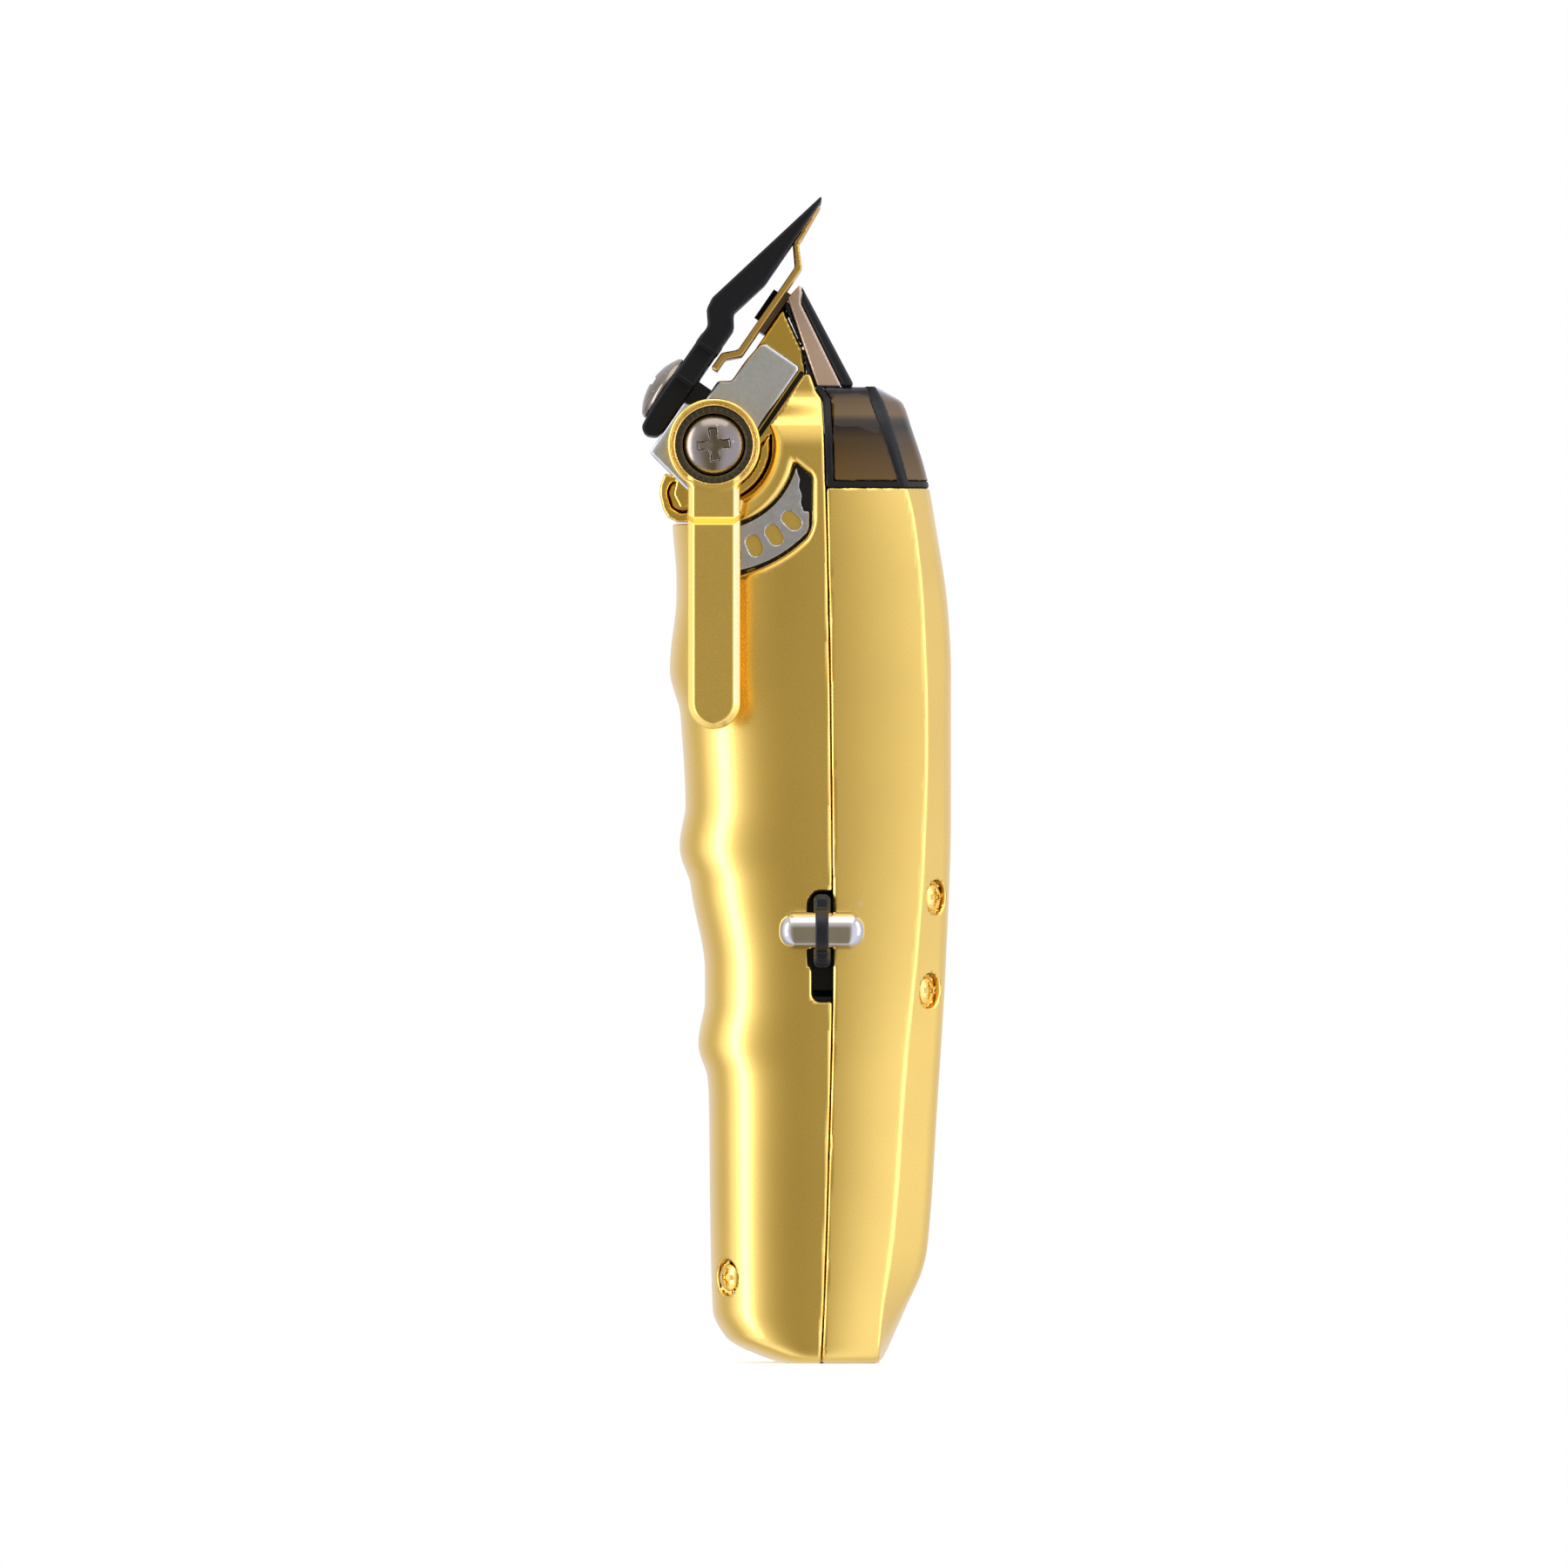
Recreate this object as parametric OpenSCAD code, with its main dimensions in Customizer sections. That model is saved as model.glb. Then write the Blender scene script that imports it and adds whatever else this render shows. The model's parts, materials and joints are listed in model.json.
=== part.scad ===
// Cordless hair clipper, standing on its base.
// Millimetres, +Z up, -Y is the front (blade side), +X is the taper lever side.
// The origin is the middle of the flat base.

/* [Overall] */
// Height of the grip from the base to the top of the rear shell
grip_h = 132.2; // [110:0.1:160]
// Half width of the body at the base
base_half_w = 18; // [17:0.1:21.6]
// Half width of the body at the shoulder, beside the lever
shoulder_half_w = 22; // [18.3:0.1:26.4]
// Wall thickness of both metal shells
shell_wall = 1.8; // [1.2:0.1:2.4]
// Depth of the finger bumps down the front
bump_depth = 1; // [0:0.1:1.4]

/* [Blade set] */
// Angle between the blade plane and the upright axis
blade_angle = 34.5; // [30:0.5:38]
// Full width of the fixed blade
blade_w = 46; // [42:0.5:50]
// Thickness of the fixed blade at its mounting bar
blade_t = 3.1; // [2.4:0.1:3.4]
// Full width of the moving blade
cutter_w = 37; // [32:0.5:40]
// Sheet thickness of the moving blade
cutter_t = 1; // [0.7:0.05:1.2]
// Number of teeth on the fixed blade
fixed_teeth = 31; // [21:2:35]
// Number of teeth on the moving blade
cutter_teeth = 21; // [15:2:25]
// Side stroke of the moving blade each way from the middle
stroke = 1.3; // [0.8:0.1:1.6]

/* [Taper lever] */
// Distance from the lever pivot to the end of the paddle
lever_len = 42.9; // [36:0.1:50]
// Width of the lever paddle
lever_w = 8; // [6.6:0.1:10]
// Outer radius of the lever ring
lever_ring_r = 7; // [6.6:0.1:8]
// Radius of the shoulder that the lever turns on
shoulder_r = 3; // [2.6:0.1:3.4]
// Radius of the crank pin that moves the blade carrier
cam_pin_r = 1.15; // [1:0.05:1.3]
// Swing of the lever in degrees
lever_swing = 48; // [36:1:54]
// Number of detent slots
detents = 5; // [3:1:5]

/* [Power switch] */
// Length of the switch barrel across the body
barrel_len = 13; // [10:0.1:16]
// Radius of the switch barrel
barrel_r = 2.8; // [2.2:0.1:3.4]
// Travel of the power switch
switch_travel = 4.5; // [3:0.1:5]

/* [Drive and battery] */
// Radius of the motor can
motor_r = 12.5; // [11:0.1:13]
// Length of the motor can
motor_len = 38; // [32:0.5:42]
// Radius of the motor shaft
shaft_r = 1.5; // [1.2:0.05:2]
// Radius of the crank pin on the motor shaft
crank_pin_r = 1.25; // [1:0.05:1.5]
// Radius of the battery cell
cell_r = 9.15; // [7:0.05:9.3]
// Length of the battery cell
cell_len = 65; // [50:0.5:66]
// Thickness of the main board
board_t = 1.6; // [1:0.1:2]

/* [Clearances] */
// Radial clearance of a turning fit
run_fit = 0.05; // [0.02:0.01:0.09]
// Gap between pieces that slide or sit side by side
gap = 0.3; // [0.15:0.05:0.4]

/* [Hidden] */
$fn = 48;
eps = 0.01;

// The outlines below are written for this grip height, and stretch with the real one.
// Above the grip they keep their size and only move up.
ref_h = 132.2;
kz = grip_h / ref_h;
head_z = grip_h - ref_h;
function ref_z(z) = z < grip_h ? z / kz : z - head_z;
function real_z(r) = r < ref_h ? r * kz : r + head_z;
neck_half_w = shoulder_half_w - 4.6;

// Upright outline of the front at X = 0, as [z, y]; the three crests are the finger bumps.
front_pts = [[0, -11.6], [1.4, -14], [4, -17.8], [8, -19.7], [22, -20.1], [40, -20.3], [48.4, -20.9],
    [59.2, -20.9], [71, -22.9], [77.5, -23.7], [87, -23.9], [96.7, -24.5], [104.8, -25.2],
    [118.5, -25.2], [126.8, -25.8], [140, -26], [152, -26]];
// Crest heights of the finger bumps, and how far each one reaches up and down.
bumps = [[104.8, 11, 6.5], [77.9, 6.5, 5.5], [48.2, 6.5, 5]];
// Upright outline of the back at X = 0, as [z, y].
back_pts = [[0, 5.8], [8, 9.3], [14.5, 12.1], [18, 12.8], [40, 14.3], [60, 15.5], [83, 16.3],
    [104.5, 16.3], [113, 15.9], [127, 13.9], [134, 12.6], [141.4, 10.3], [145, 9], [147.4, 5.6],
    [152, 3]];
// The edge between the flat side of the rear shell and its slanting facet, as [z, y].
edge_pts = [[0, 5.3], [8, 6], [21.5, 7.6], [47, 9.5], [61, 11], [77, 12.2], [95, 12.7], [113.7, 12.1],
    [127, 10.8], [133, 9.3], [147.4, 4.6], [152, 2.4]];
// The parting line between the shells, as [z, y].
seam_pts = [[0, -3.3], [11, -2.8], [30, -2.2], [60, -1.6], [90, -1.8], [115, -2.2], [132, -2.6],
    [145.3, -3.1], [147, -4.1], [149.5, -5], [152, -5.8]];
// Half width of the body, as [z, x].
width_pts = [[0, base_half_w], [30, base_half_w + 0.7], [70, shoulder_half_w - 1.8],
    [105, shoulder_half_w - 0.6], [125, shoulder_half_w], [138, shoulder_half_w],
    [141.5, shoulder_half_w - 0.9], [146, neck_half_w + 0.3], [147.4, neck_half_w], [152, neck_half_w]];

// Slope at point i of a list of [z, value], for a smooth curve through the points.
function slope(p, i) =
    i == 0 ? (p[1][1] - p[0][1]) / (p[1][0] - p[0][0]) :
    i == len(p) - 1 ? (p[i][1] - p[i - 1][1]) / (p[i][0] - p[i - 1][0]) :
    let (a = (p[i][1] - p[i - 1][1]) / (p[i][0] - p[i - 1][0]),
         b = (p[i + 1][1] - p[i][1]) / (p[i + 1][0] - p[i][0]))
    a * b <= 0 ? 0 : 2 * a * b / (a + b);
function span_at(p, z, i = 0) = (i >= len(p) - 2 || z < p[i + 1][0]) ? i : span_at(p, z, i + 1);
// Value of the smooth curve through p at height z.
function curve_at(p, z) =
    let (i = span_at(p, z), h = p[i + 1][0] - p[i][0], t = (z - p[i][0]) / h)
    (2 * t ^ 3 - 3 * t ^ 2 + 1) * p[i][1] + (t ^ 3 - 2 * t ^ 2 + t) * h * slope(p, i)
    + (3 * t ^ 2 - 2 * t ^ 3) * p[i + 1][1] + (t ^ 3 - t ^ 2) * h * slope(p, i + 1);

function bump(z) = [for (b = bumps)
    let (t = z > b[0] ? (z - b[0]) / b[1] : (b[0] - z) / b[2])
    t < 1 ? (1 - t * t) ^ 2 : 0] * [for (b = bumps) 1];
function front_y(z) = curve_at(front_pts, ref_z(z)) - bump_depth * bump(ref_z(z));
function back_y(z) = curve_at(back_pts, ref_z(z));
function edge_y(z) = curve_at(edge_pts, ref_z(z));
function seam_y(z) = curve_at(seam_pts, ref_z(z));
// The sides turn in at the bottom over this radius.
foot_r = 3.2;
function foot_in(z) = z < foot_r ? foot_r - sqrt(foot_r ^ 2 - (foot_r - z) ^ 2) : 0;
function half_w(z) = curve_at(width_pts, ref_z(z)) - foot_in(z);

// Squareness of the front shell's section, and how far the rear facet runs inward.
front_power = 3.2;
facet_in = 6.5;
side_draft = 2;
function sgn_pow(v, p) = sign(v) * abs(v) ^ p;

// The sides are thicker around the detent pocket, and thin again at the neck.
side_pad = 1.2;
function pad_at(z) = side_pad * min(max(min((ref_z(z) - 108) / 7, (139.8 - ref_z(z)) / 3.6), 0), 1);
// Section of the front shell at height z, shrunk by the wall w.
function front_section(z, w) =
    let (hw = half_w(z) - w - (w > 0 ? pad_at(z) : 0), d = seam_y(z) - front_y(z) - w,
         q = 2 / front_power)
    concat([for (a = [0:9:180]) [hw * sgn_pow(cos(a), q), -d * sgn_pow(sin(a), q)]],
        w > 0 ? [[-hw, 1], [hw, 1]] : []);
// Section of the rear shell at height z, shrunk by the wall w.
function rear_section(z, w) =
    let (hw = half_w(z) - w, y0 = w > 0 ? -1 : 0, s = seam_y(z),
         e = max(edge_y(z) - s - 0.4 * w, 0.5), b = max(back_y(z) - s - w, e + 0.3))
    [[-hw, y0], [-hw + side_draft, e], [-max(hw - side_draft - facet_in, 4), b],
     [max(hw - side_draft - facet_in, 4), b], [hw - side_draft, e], [hw, y0]];

// Closed skin through a list of sections, each one a ring of the same number of points.
module loft(rings) {
    n = len(rings[0]);
    m = len(rings);
    polyhedron([for (r = rings) each r], concat(
        [[for (i = [0:n - 1]) n - 1 - i], [for (i = [0:n - 1]) (m - 1) * n + i]],
        [for (k = [0:m - 2], i = [0:n - 1]) [k * n + i, k * n + (i + 1) % n, (k + 1) * n + (i + 1) % n]],
        [for (k = [0:m - 2], i = [0:n - 1]) [k * n + i, (k + 1) * n + (i + 1) % n, (k + 1) * n + i]]));
}
function placed(pts, z) = [for (p = pts) [p[0], p[1] + seam_y(z), z]];
module loft_front(zs, w) loft([for (z = zs) placed(front_section(z, w), z)]);
module loft_rear(zs, w) loft([for (z = zs) placed(rear_section(z, w), z)]);

// Extrudes a side outline of [y, z] points from x0 to x1.
module side_plate(pts, x0, x1) {
    translate([x0, 0, 0]) rotate([90, 0, 90]) linear_extrude(x1 - x0) polygon(pts);
}
// Cylinder along X.
module x_rod(r, x0, x1) translate([x0, 0, 0]) rotate([0, 90, 0]) cylinder(r = r, h = x1 - x0);
// Cylinder along Y.
module y_rod(r, y0, y1) translate([0, y0, 0]) rotate([-90, 0, 0]) cylinder(r = r, h = y1 - y0);

// Blade tip, and the frame of the blade plane: s runs up along the blades and n faces outward.
tip_y = -3.4;
tip_z = 176 + head_z;
function blade_pt(n, s) = [tip_y + s * sin(blade_angle) - n * cos(blade_angle),
    tip_z + s * cos(blade_angle) + n * sin(blade_angle)];
module blade_frame() translate([0, tip_y, tip_z]) rotate([-blade_angle, 0, 0]) children();
// Extrudes an outline of [n, s] points in the blade frame from x0 to x1.
module blade_plate(pts, x0, x1) {
    blade_frame() rotate([90, 0, 90]) translate([0, 0, x0]) linear_extrude(x1 - x0)
        polygon([for (p = pts) [-p[0], p[1]]]);
}
// Block in the blade frame, from n0 to n1 and s0 to s1, as wide as half on each side.
module blade_block(n0, n1, s0, s1, half)
    blade_plate([[n0, s0], [n1, s0], [n1, s1], [n0, s1]], -half, half);

// Lever pivot.
pivot_s = -39.9;
pivot_n = -7.9;
pivot = blade_pt(pivot_n, pivot_s);
module at_pivot() translate([0, pivot[0], pivot[1]]) children();

// Layers outward along X at the pivot, each from the one below it.
frame_half_w = shoulder_half_w - 6.8;
flange_t = 1.5;
flange_x = frame_half_w + 0.1;
carrier_half_w = flange_x + flange_t;
cam_x = carrier_half_w + 0.25;
cam_t = 2.3;
hub_x = cam_x + cam_t;
hub_floor = 1.5;
lever_x = shoulder_half_w + 0.45;
ring_top = lever_x + 1.7;
neck_t = 1.9;
paddle_t = 3.6;
washer_r = lever_ring_r - 1.15;
screw_head_r = washer_r - 1.1;

// Crank of the lever cam: its throw gives the carrier's travel over the lever's swing.
carrier_travel = 2.4;
cam_throw = carrier_travel / (2 * sin(lever_swing / 2));
cam_rest = -blade_angle - lever_swing / 2;
cam_pin = [cam_throw * cos(cam_rest), cam_throw * sin(cam_rest)];

// Openings in the two shells.
cam_r = lever_ring_r - 0.2;
guard_r = lever_ring_r + 1.6;
head_gap_r = guard_r + gap;
// Region of the head, cut out of the front shell.
function head_cut() = concat(
    [[-5.0, 151.5 + head_z], [-5.25, 150.2 + head_z]],
    [for (a = [20:-6:-64]) [pivot[0] + head_gap_r * cos(a), pivot[1] + head_gap_r * sin(a)]],
    [[-16.4, 126.8 + head_z], [-32, 126.8 + head_z], [-32, 151.5 + head_z]]);

// Detent pocket in the side of the front shell: a ring about the pivot, cut off square at the back.
pocket_in = 12.4;
pocket_out = 19.7;
pocket_a0 = -12;
pocket_a1 = 72;
pocket_back = -4.9;
pocket_floor = shoulder_half_w - 2.1;
plate_t = 0.8;
detent_r = 16.35;
detent_pitch = 12;
module ring_sector(r0, r1, a0, a1, x0, x1) {
    at_pivot() translate([x0, 0, 0]) rotate([90, 0, 90]) linear_extrude(x1 - x0)
        polygon(concat([for (a = [a0:(a1 - a0) / 12:a1]) r1 * [sin(a), -cos(a)]],
                       [for (a = [a1:(a0 - a1) / 12:a0]) r0 * [sin(a), -cos(a)]]));
}
module pocket_shape(inset, x0, x1) intersection() {
    ring_sector(pocket_in + inset, pocket_out - inset, pocket_a0 + 2 * inset, pocket_a1 - 2 * inset,
        x0, x1);
    translate([0, -60, 0]) cube([60, 60 + pocket_back - inset, tip_z]);
}

// Screws through the corners of the shells: [z, outward angle from +X].
front_screw_z = 13 * kz;
front_screw_a = -48;
rear_screw_z = [70.4 * kz, 56.3 * kz];
indicator_z = 70.7 * kz;
rear_screw_a = 57;
screw_r = 2.1;
recess_r = 2.6;
// A point on the front shell's corner, and on the rear shell's facet.
function front_corner(z) = let (s = front_section(z, 0)) [s[6][0], seam_y(z) + s[6][1]];
function rear_corner(z) = let (s = rear_section(z, 0)) [(s[3][0] + s[4][0]) / 2 - 0.4,
    seam_y(z) + (s[3][1] + s[4][1]) / 2 + 0.3];
module at_front_screws() {
    for (m = [0, 1]) mirror([m, 0, 0]) translate([front_corner(front_screw_z)[0],
        front_corner(front_screw_z)[1], front_screw_z]) rotate([0, 0, front_screw_a]) children();
}
module at_rear_screws() {
    for (m = [0, 1]) mirror([m, 0, 0]) for (z = rear_screw_z)
        translate([rear_corner(z)[0], rear_corner(z)[1], z]) rotate([0, 0, rear_screw_a]) children();
}

// Power switch.
switch_y = -3.2;
switch_z = 65.4 * kz;
switch_x = half_w(switch_z) + 0.35;
slot_w = 2.9;
slot_z0 = switch_z - 10 * kz;
slot_z1 = switch_z + 5.9;
stem_h = slot_z1 - slot_z0 - switch_travel - 0.8;
stem_top = slot_z1 - 0.4;

// Motor, crank and drive.
motor_y = -4.6;
motor_top = grip_h - 12.2;
motor_z = motor_top - motor_len;
crank_z = motor_top + 14;
crank_pin_h = 7;

// Battery and board.
cell_y = -6.2;
cell_z = 9.5;
board_y = 5.4;
board_z0 = 18;
board_z1 = 78;
board_half_w = 13;

// Base plate opening in the bottom of the shells.
base_plate_y0 = -8.4;
base_plate_y1 = 5;
base_plate_half_w = 12;
base_plate_t = 2;

shell_zs = [0, 0.4, 1, 1.9, 3.2, 5, 8, 14, 20, 27, 34, 40, 43.5, 46, 48.5, 51.5, 55, 60, 66, 70, 73,
    75.5, 78, 80.5, 83.5, 88, 94, 98, 100.5, 103, 106, 109, 112.5, 117, 122, 128];
neck_zs = [132.2, 136, 138, 139.8, 141.5, 143, 144.6, 146, 147.4, 149.4];
window_zs = [132.2, 134, 136, 138, 139.8, 141.5, 143, 144.6, 146, 147.4];
function real_zs(zs) = [for (z = zs) z < 5 ? z : real_z(z)];
function inner_zs(zs) = concat([shell_wall], [for (z = real_zs(zs)) if (z > 2) z]);

module base_opening() {
    translate([-base_plate_half_w, base_plate_y0, -1])
        cube([2 * base_plate_half_w, base_plate_y1 - base_plate_y0, base_plate_t + 3]);
}

// Stiffening ribs across the inside of the two shells, tapered to their roots.
rib_zs = [6, 12, 79, 82.5, 86, 106, 110, 114, 117.5];
rib_h = 1.1;
module rib(z, y0, y1, half) hull() {
    translate([-half, y0, z]) cube([2 * half, y1 - y0, rib_h]);
    translate([-half, y0, z - 0.25]) cube([2 * half, 0.1, rib_h + 0.5]);
}
module front_rib(z) rib(z, front_y(z) + 0.5, front_y(z) + shell_wall + 1, 9);
module rear_rib(z) translate([0, 2 * back_y(z), 0]) mirror([0, 1, 0])
    rib(z, back_y(z) + 0.5, back_y(z) + shell_wall + 1, 9);

// Gold front half of the grip, with the shoulder beside the lever.
module front_shell() color("goldenrod") difference() {
    loft_front(real_zs(concat(shell_zs, neck_zs)), 0);
    difference() {
        loft_front(concat(inner_zs(concat(shell_zs, neck_zs)), [151 + head_z]), shell_wall);
        for (z = rib_zs) front_rib(z * kz);
    }
    side_plate(head_cut(), -40, 40);
    base_opening();
    pocket_shape(0, pocket_floor, 40);
    translate([10, switch_y - slot_w / 2, slot_z0]) cube([20, slot_w, slot_z1 - slot_z0]);
    at_front_screws() x_rod(recess_r, -1.2, 6);
    at_front_screws() x_rod(1.3, -6, 6);
}

// Gold back half of the grip, with its slanting side facets.
module rear_shell() color("darkgoldenrod") difference() {
    loft_rear(concat(real_zs(shell_zs), [grip_h]), 0);
    difference() {
        loft_rear(concat(inner_zs(shell_zs), [grip_h + 1]), shell_wall);
        for (z = rib_zs) rear_rib(z * kz);
    }
    base_opening();
    at_rear_screws() x_rod(recess_r, -1.2, 6);
    at_rear_screws() x_rod(1.3, -6, 6);
    translate([0, back_y(indicator_z), indicator_z]) y_rod(1.3, -4, 4);
}

// Gold casting that carries the blade set, with cheeks, a front wall and the chin lip.
chin = [[-26.9, 134.4], [-27.6, 132.6], [-27.7, 131.2], [-27.2, 129], [-26.4, 127.7], [-25.2, 127.1],
    [-22.5, 127.1], [-22.5, 129], [-24.6, 129.2], [-25.6, 131.2], [-25, 134.4]];
chin_half_w = frame_half_w - 1;
cheek_in = 9.2;
function up(pts) = [for (p = pts) [p[0], p[1] + head_z]];
cheek = concat(up([[-8.9, 159], [-6.1, 153.1], [-5.6, 150], [-5.4, 146], [-5.4, 124], [-16.6, 124],
        [-16.6, 127.2], [-22.5, 127.2], [-22.5, 129.2], [-24.6, 129.2], [-25.6, 131.2], [-25, 134]]),
    [blade_pt(-3.1, -46), blade_pt(-3.1, -33.4), blade_pt(-4.85, -33.4), blade_pt(-4.85, -17.4)]);
// Raised rim of the casting, under the lever ring on the side away from the blades.
module ring_guard() difference() {
    intersection() {
        at_pivot() x_rod(guard_r, frame_half_w - 1, hub_x - gap);
        blade_block(pivot_n - 20, pivot_n - 6, pivot_s - 20, pivot_s + 20, 40);
    }
    at_pivot() x_rod(cam_r + gap, frame_half_w, hub_x + 1);
}
module head_frame() color("gold") difference() {
    union() {
        for (m = [0, 1]) mirror([m, 0, 0]) {
            side_plate(cheek, frame_half_w - 3, frame_half_w);
            at_pivot() x_rod(4.5, cheek_in, frame_half_w - 2);
            ring_guard();
        }
        side_plate(up(chin), -chin_half_w, chin_half_w);
        blade_block(-5, -3.1, -46, -34, frame_half_w);
        translate([-frame_half_w, -16.6, 124 + head_z]) cube([2 * frame_half_w, 23, 2.4]);
    }
    translate([0, motor_y, 120 + head_z]) cylinder(r = 8, h = 10);
    for (m = [0, 1]) mirror([m, 0, 0]) {
        at_pivot() x_rod(1.25, 0, 30);
        translate([11, 4, 120 + head_z]) cylinder(r = 1.1, h = 10);
    }
}

// Smoked window over the drive, behind the gasket.
gasket_t = 1.2;
band_h = 1;
function window_side(y_off, z0, far) = concat([[seam_y(grip_h + z0) + y_off, grip_h + z0]],
    [for (z = real_zs(window_zs)) if (z > grip_h + z0 + 0.1) [seam_y(z) + y_off, z]],
    [[far, grip_h + 15.3], [far, grip_h + z0]]);
module drive_window() color("sienna", 0.5) intersection() {
    difference() {
        loft_rear(real_zs(window_zs), 0);
        loft_rear(real_zs(concat([for (z = window_zs) if (z < 146) z], [145.9])), 1.5);
    }
    side_plate(window_side(gasket_t + 0.05, band_h + 0.05, 40), -40, 40);
}
module window_gasket() color("black") difference() {
    loft_rear(real_zs(concat([for (z = window_zs) if (z < 147) z], [147.3])), 0.15);
    loft_rear(real_zs(concat([131], [for (z = window_zs) z], [149])), 1.5);
    side_plate(window_side(gasket_t, band_h, 40), -40, 40);
    side_plate(window_side(0.03, -0.5, -40), -40, 40);
    translate([-40, -40, grip_h - 2]) cube([80, 80, 2.05]);
}

// Cover behind the blades, and the dark skin on its back.
hood_half_w = neck_half_w - 0.4;
module nose_hood() color("peru") difference() {
    side_plate(up([[-8.1, 160.9], [-6.5, 162.9], [-6.2, 161.7], [-6.4, 160.1], [-0.2, 147.45],
        [-3.4, 147.45]]), -hood_half_w, hood_half_w);
    side_plate(up([[-9.2, 162.4], [-1.5, 146], [-12, 146]]), -hood_half_w + 1.5, hood_half_w - 1.5);
}
module nose_hood_skin() color("black")
    side_plate(up([[-6.3, 162.7], [1.75, 147.45], [-0.15, 147.45], [-6.35, 160.1], [-6.15, 161.7]]),
        -hood_half_w, hood_half_w);

// Bottom plate with the charging socket and the two charging contacts.
inlet_y = -4.2;
inlet_w = 8.94;
inlet_h = 3.26;
inlet_wall = 0.35;
contact_x = 6;
contact_y = 1.6;
contact_r = 1.4;
module inlet_outline(grow, h) {
    r = inlet_h / 2 + grow;
    for (m = [-1, 1]) translate([m * (inlet_w - inlet_h) / 2, inlet_y, 0]) cylinder(r = r, h = h);
    translate([-(inlet_w - inlet_h) / 2, inlet_y - r, 0]) cube([inlet_w - inlet_h, 2 * r, h]);
}
module base_plate() color("dimgray") difference() {
    translate([-base_plate_half_w + 0.1, base_plate_y0 + 0.1, 0])
        cube([2 * base_plate_half_w - 0.2, base_plate_y1 - base_plate_y0 - 0.2, base_plate_t]);
    translate([0, 0, -1]) inlet_outline(inlet_wall + 0.05, 5);
    for (m = [-1, 1]) translate([m * contact_x, contact_y, -1]) cylinder(r = contact_r + 0.05, h = 5);
}
module charge_inlet() color("silver") {
    difference() {
        translate([0, 0, 0.1]) inlet_outline(inlet_wall, 7);
        inlet_outline(0, 6.4);
    }
    translate([-3.2, inlet_y - 0.35, 1.2]) cube([6.4, 0.7, 5.6]);
}
module charge_contacts() color("gold")
    for (m = [-1, 1]) translate([m * contact_x, contact_y, 0.1]) cylinder(r = contact_r, h = 4);

// Toothed plate in the side pocket that the lever clicks along.
plate_inset = 0.45;
detent_a0 = -2.2;
module detent_plate() color("gray") difference() {
    pocket_shape(plate_inset, pocket_floor, pocket_floor + plate_t);
    for (i = [0:detents - 1]) at_pivot() rotate([detent_a0 + detent_pitch * i, 0, 0]) {
        for (k = [-0.6, 0.6]) translate([0, 0, -detent_r + k]) x_rod(1.05, pocket_floor - 1, 40);
        translate([pocket_floor - 1, -1.05, -detent_r - 0.6]) cube([5, 2.1, 1.2]);
    }
}

// Cross recess of a screw head, cut down from height x.
module cross_recess(x, len, wide, depth) {
    for (a = [0, 90]) rotate([a, 0, 0])
        translate([x - depth, -len / 2, -wide / 2]) cube([depth + 1, len, wide]);
}
// Domed head of radius r, from x0 to x1, with its crown at x1 and a straight rim.
module domed_head(r, x0, x1, rim) {
    rise = x1 - x0 - rim;
    ball = (r * r + rise * rise) / (2 * rise);
    turn = asin(r / ball);
    translate([x0, 0, 0]) rotate([0, 90, 0]) rotate_extrude() polygon(concat([[0, 0], [r, 0]],
        [for (a = [turn:-turn / 6:turn / 12]) [ball * sin(a), x1 - x0 - ball + ball * cos(a)]],
        [[0, x1 - x0]]));
}

// Stepped shoulder screw that the lever turns on.
head_x = hub_x + hub_floor + 0.1;
module lever_screw() color("silver") at_pivot() {
    x_rod(1.25, cheek_in + 0.5, frame_half_w);
    x_rod(1.5, frame_half_w, cam_x - run_fit);
    x_rod(shoulder_r, cam_x - run_fit, head_x);
    difference() {
        domed_head(screw_head_r, head_x, ring_top + 0.25, 1.7);
        cross_recess(ring_top + 0.25, 4.6, 1.1, 1.7);
    }
}

// Screws that hold the shells.
module shell_screw() {
    difference() {
        domed_head(screw_r, -1.2, -0.1, 0.5);
        cross_recess(-0.1, 2.4, 0.6, 0.6);
    }
    x_rod(1.2, -6, -1.15);
}
module front_shell_screws() color("silver") at_front_screws() shell_screw();
module rear_shell_screws() color("silver") at_rear_screws() shell_screw();

// Charge light: a clear rod through the back, lit by a lamp on the board.
module indicator_lens() color("white") translate([0, 0, indicator_z])
    y_rod(1.25, back_y(indicator_z) - 2.6, back_y(indicator_z) - 0.1);
module led() color("orange")
    translate([-0.9, board_y + board_t, indicator_z - 0.6]) cube([1.8, 0.9, 1.2]);

// Motor, held under the head casting.
module motor_can() color("silver") translate([0, motor_y, 0]) difference() {
    translate([0, 0, motor_z + 2]) cylinder(r = motor_r, h = motor_len - 2);
    translate([0, 0, motor_z + 1]) cylinder(r = motor_r - 1, h = motor_len - 2);
    translate([0, 0, motor_z]) cylinder(r = 4, h = motor_len + 5);
}
module motor_end_cap() color("black") translate([0, motor_y, motor_z]) difference() {
    cylinder(r = motor_r - 0.1, h = 2);
    for (m = [-1, 1]) translate([m * 6, 0, -1]) cylinder(r = 1.2, h = 5);
}
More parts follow.
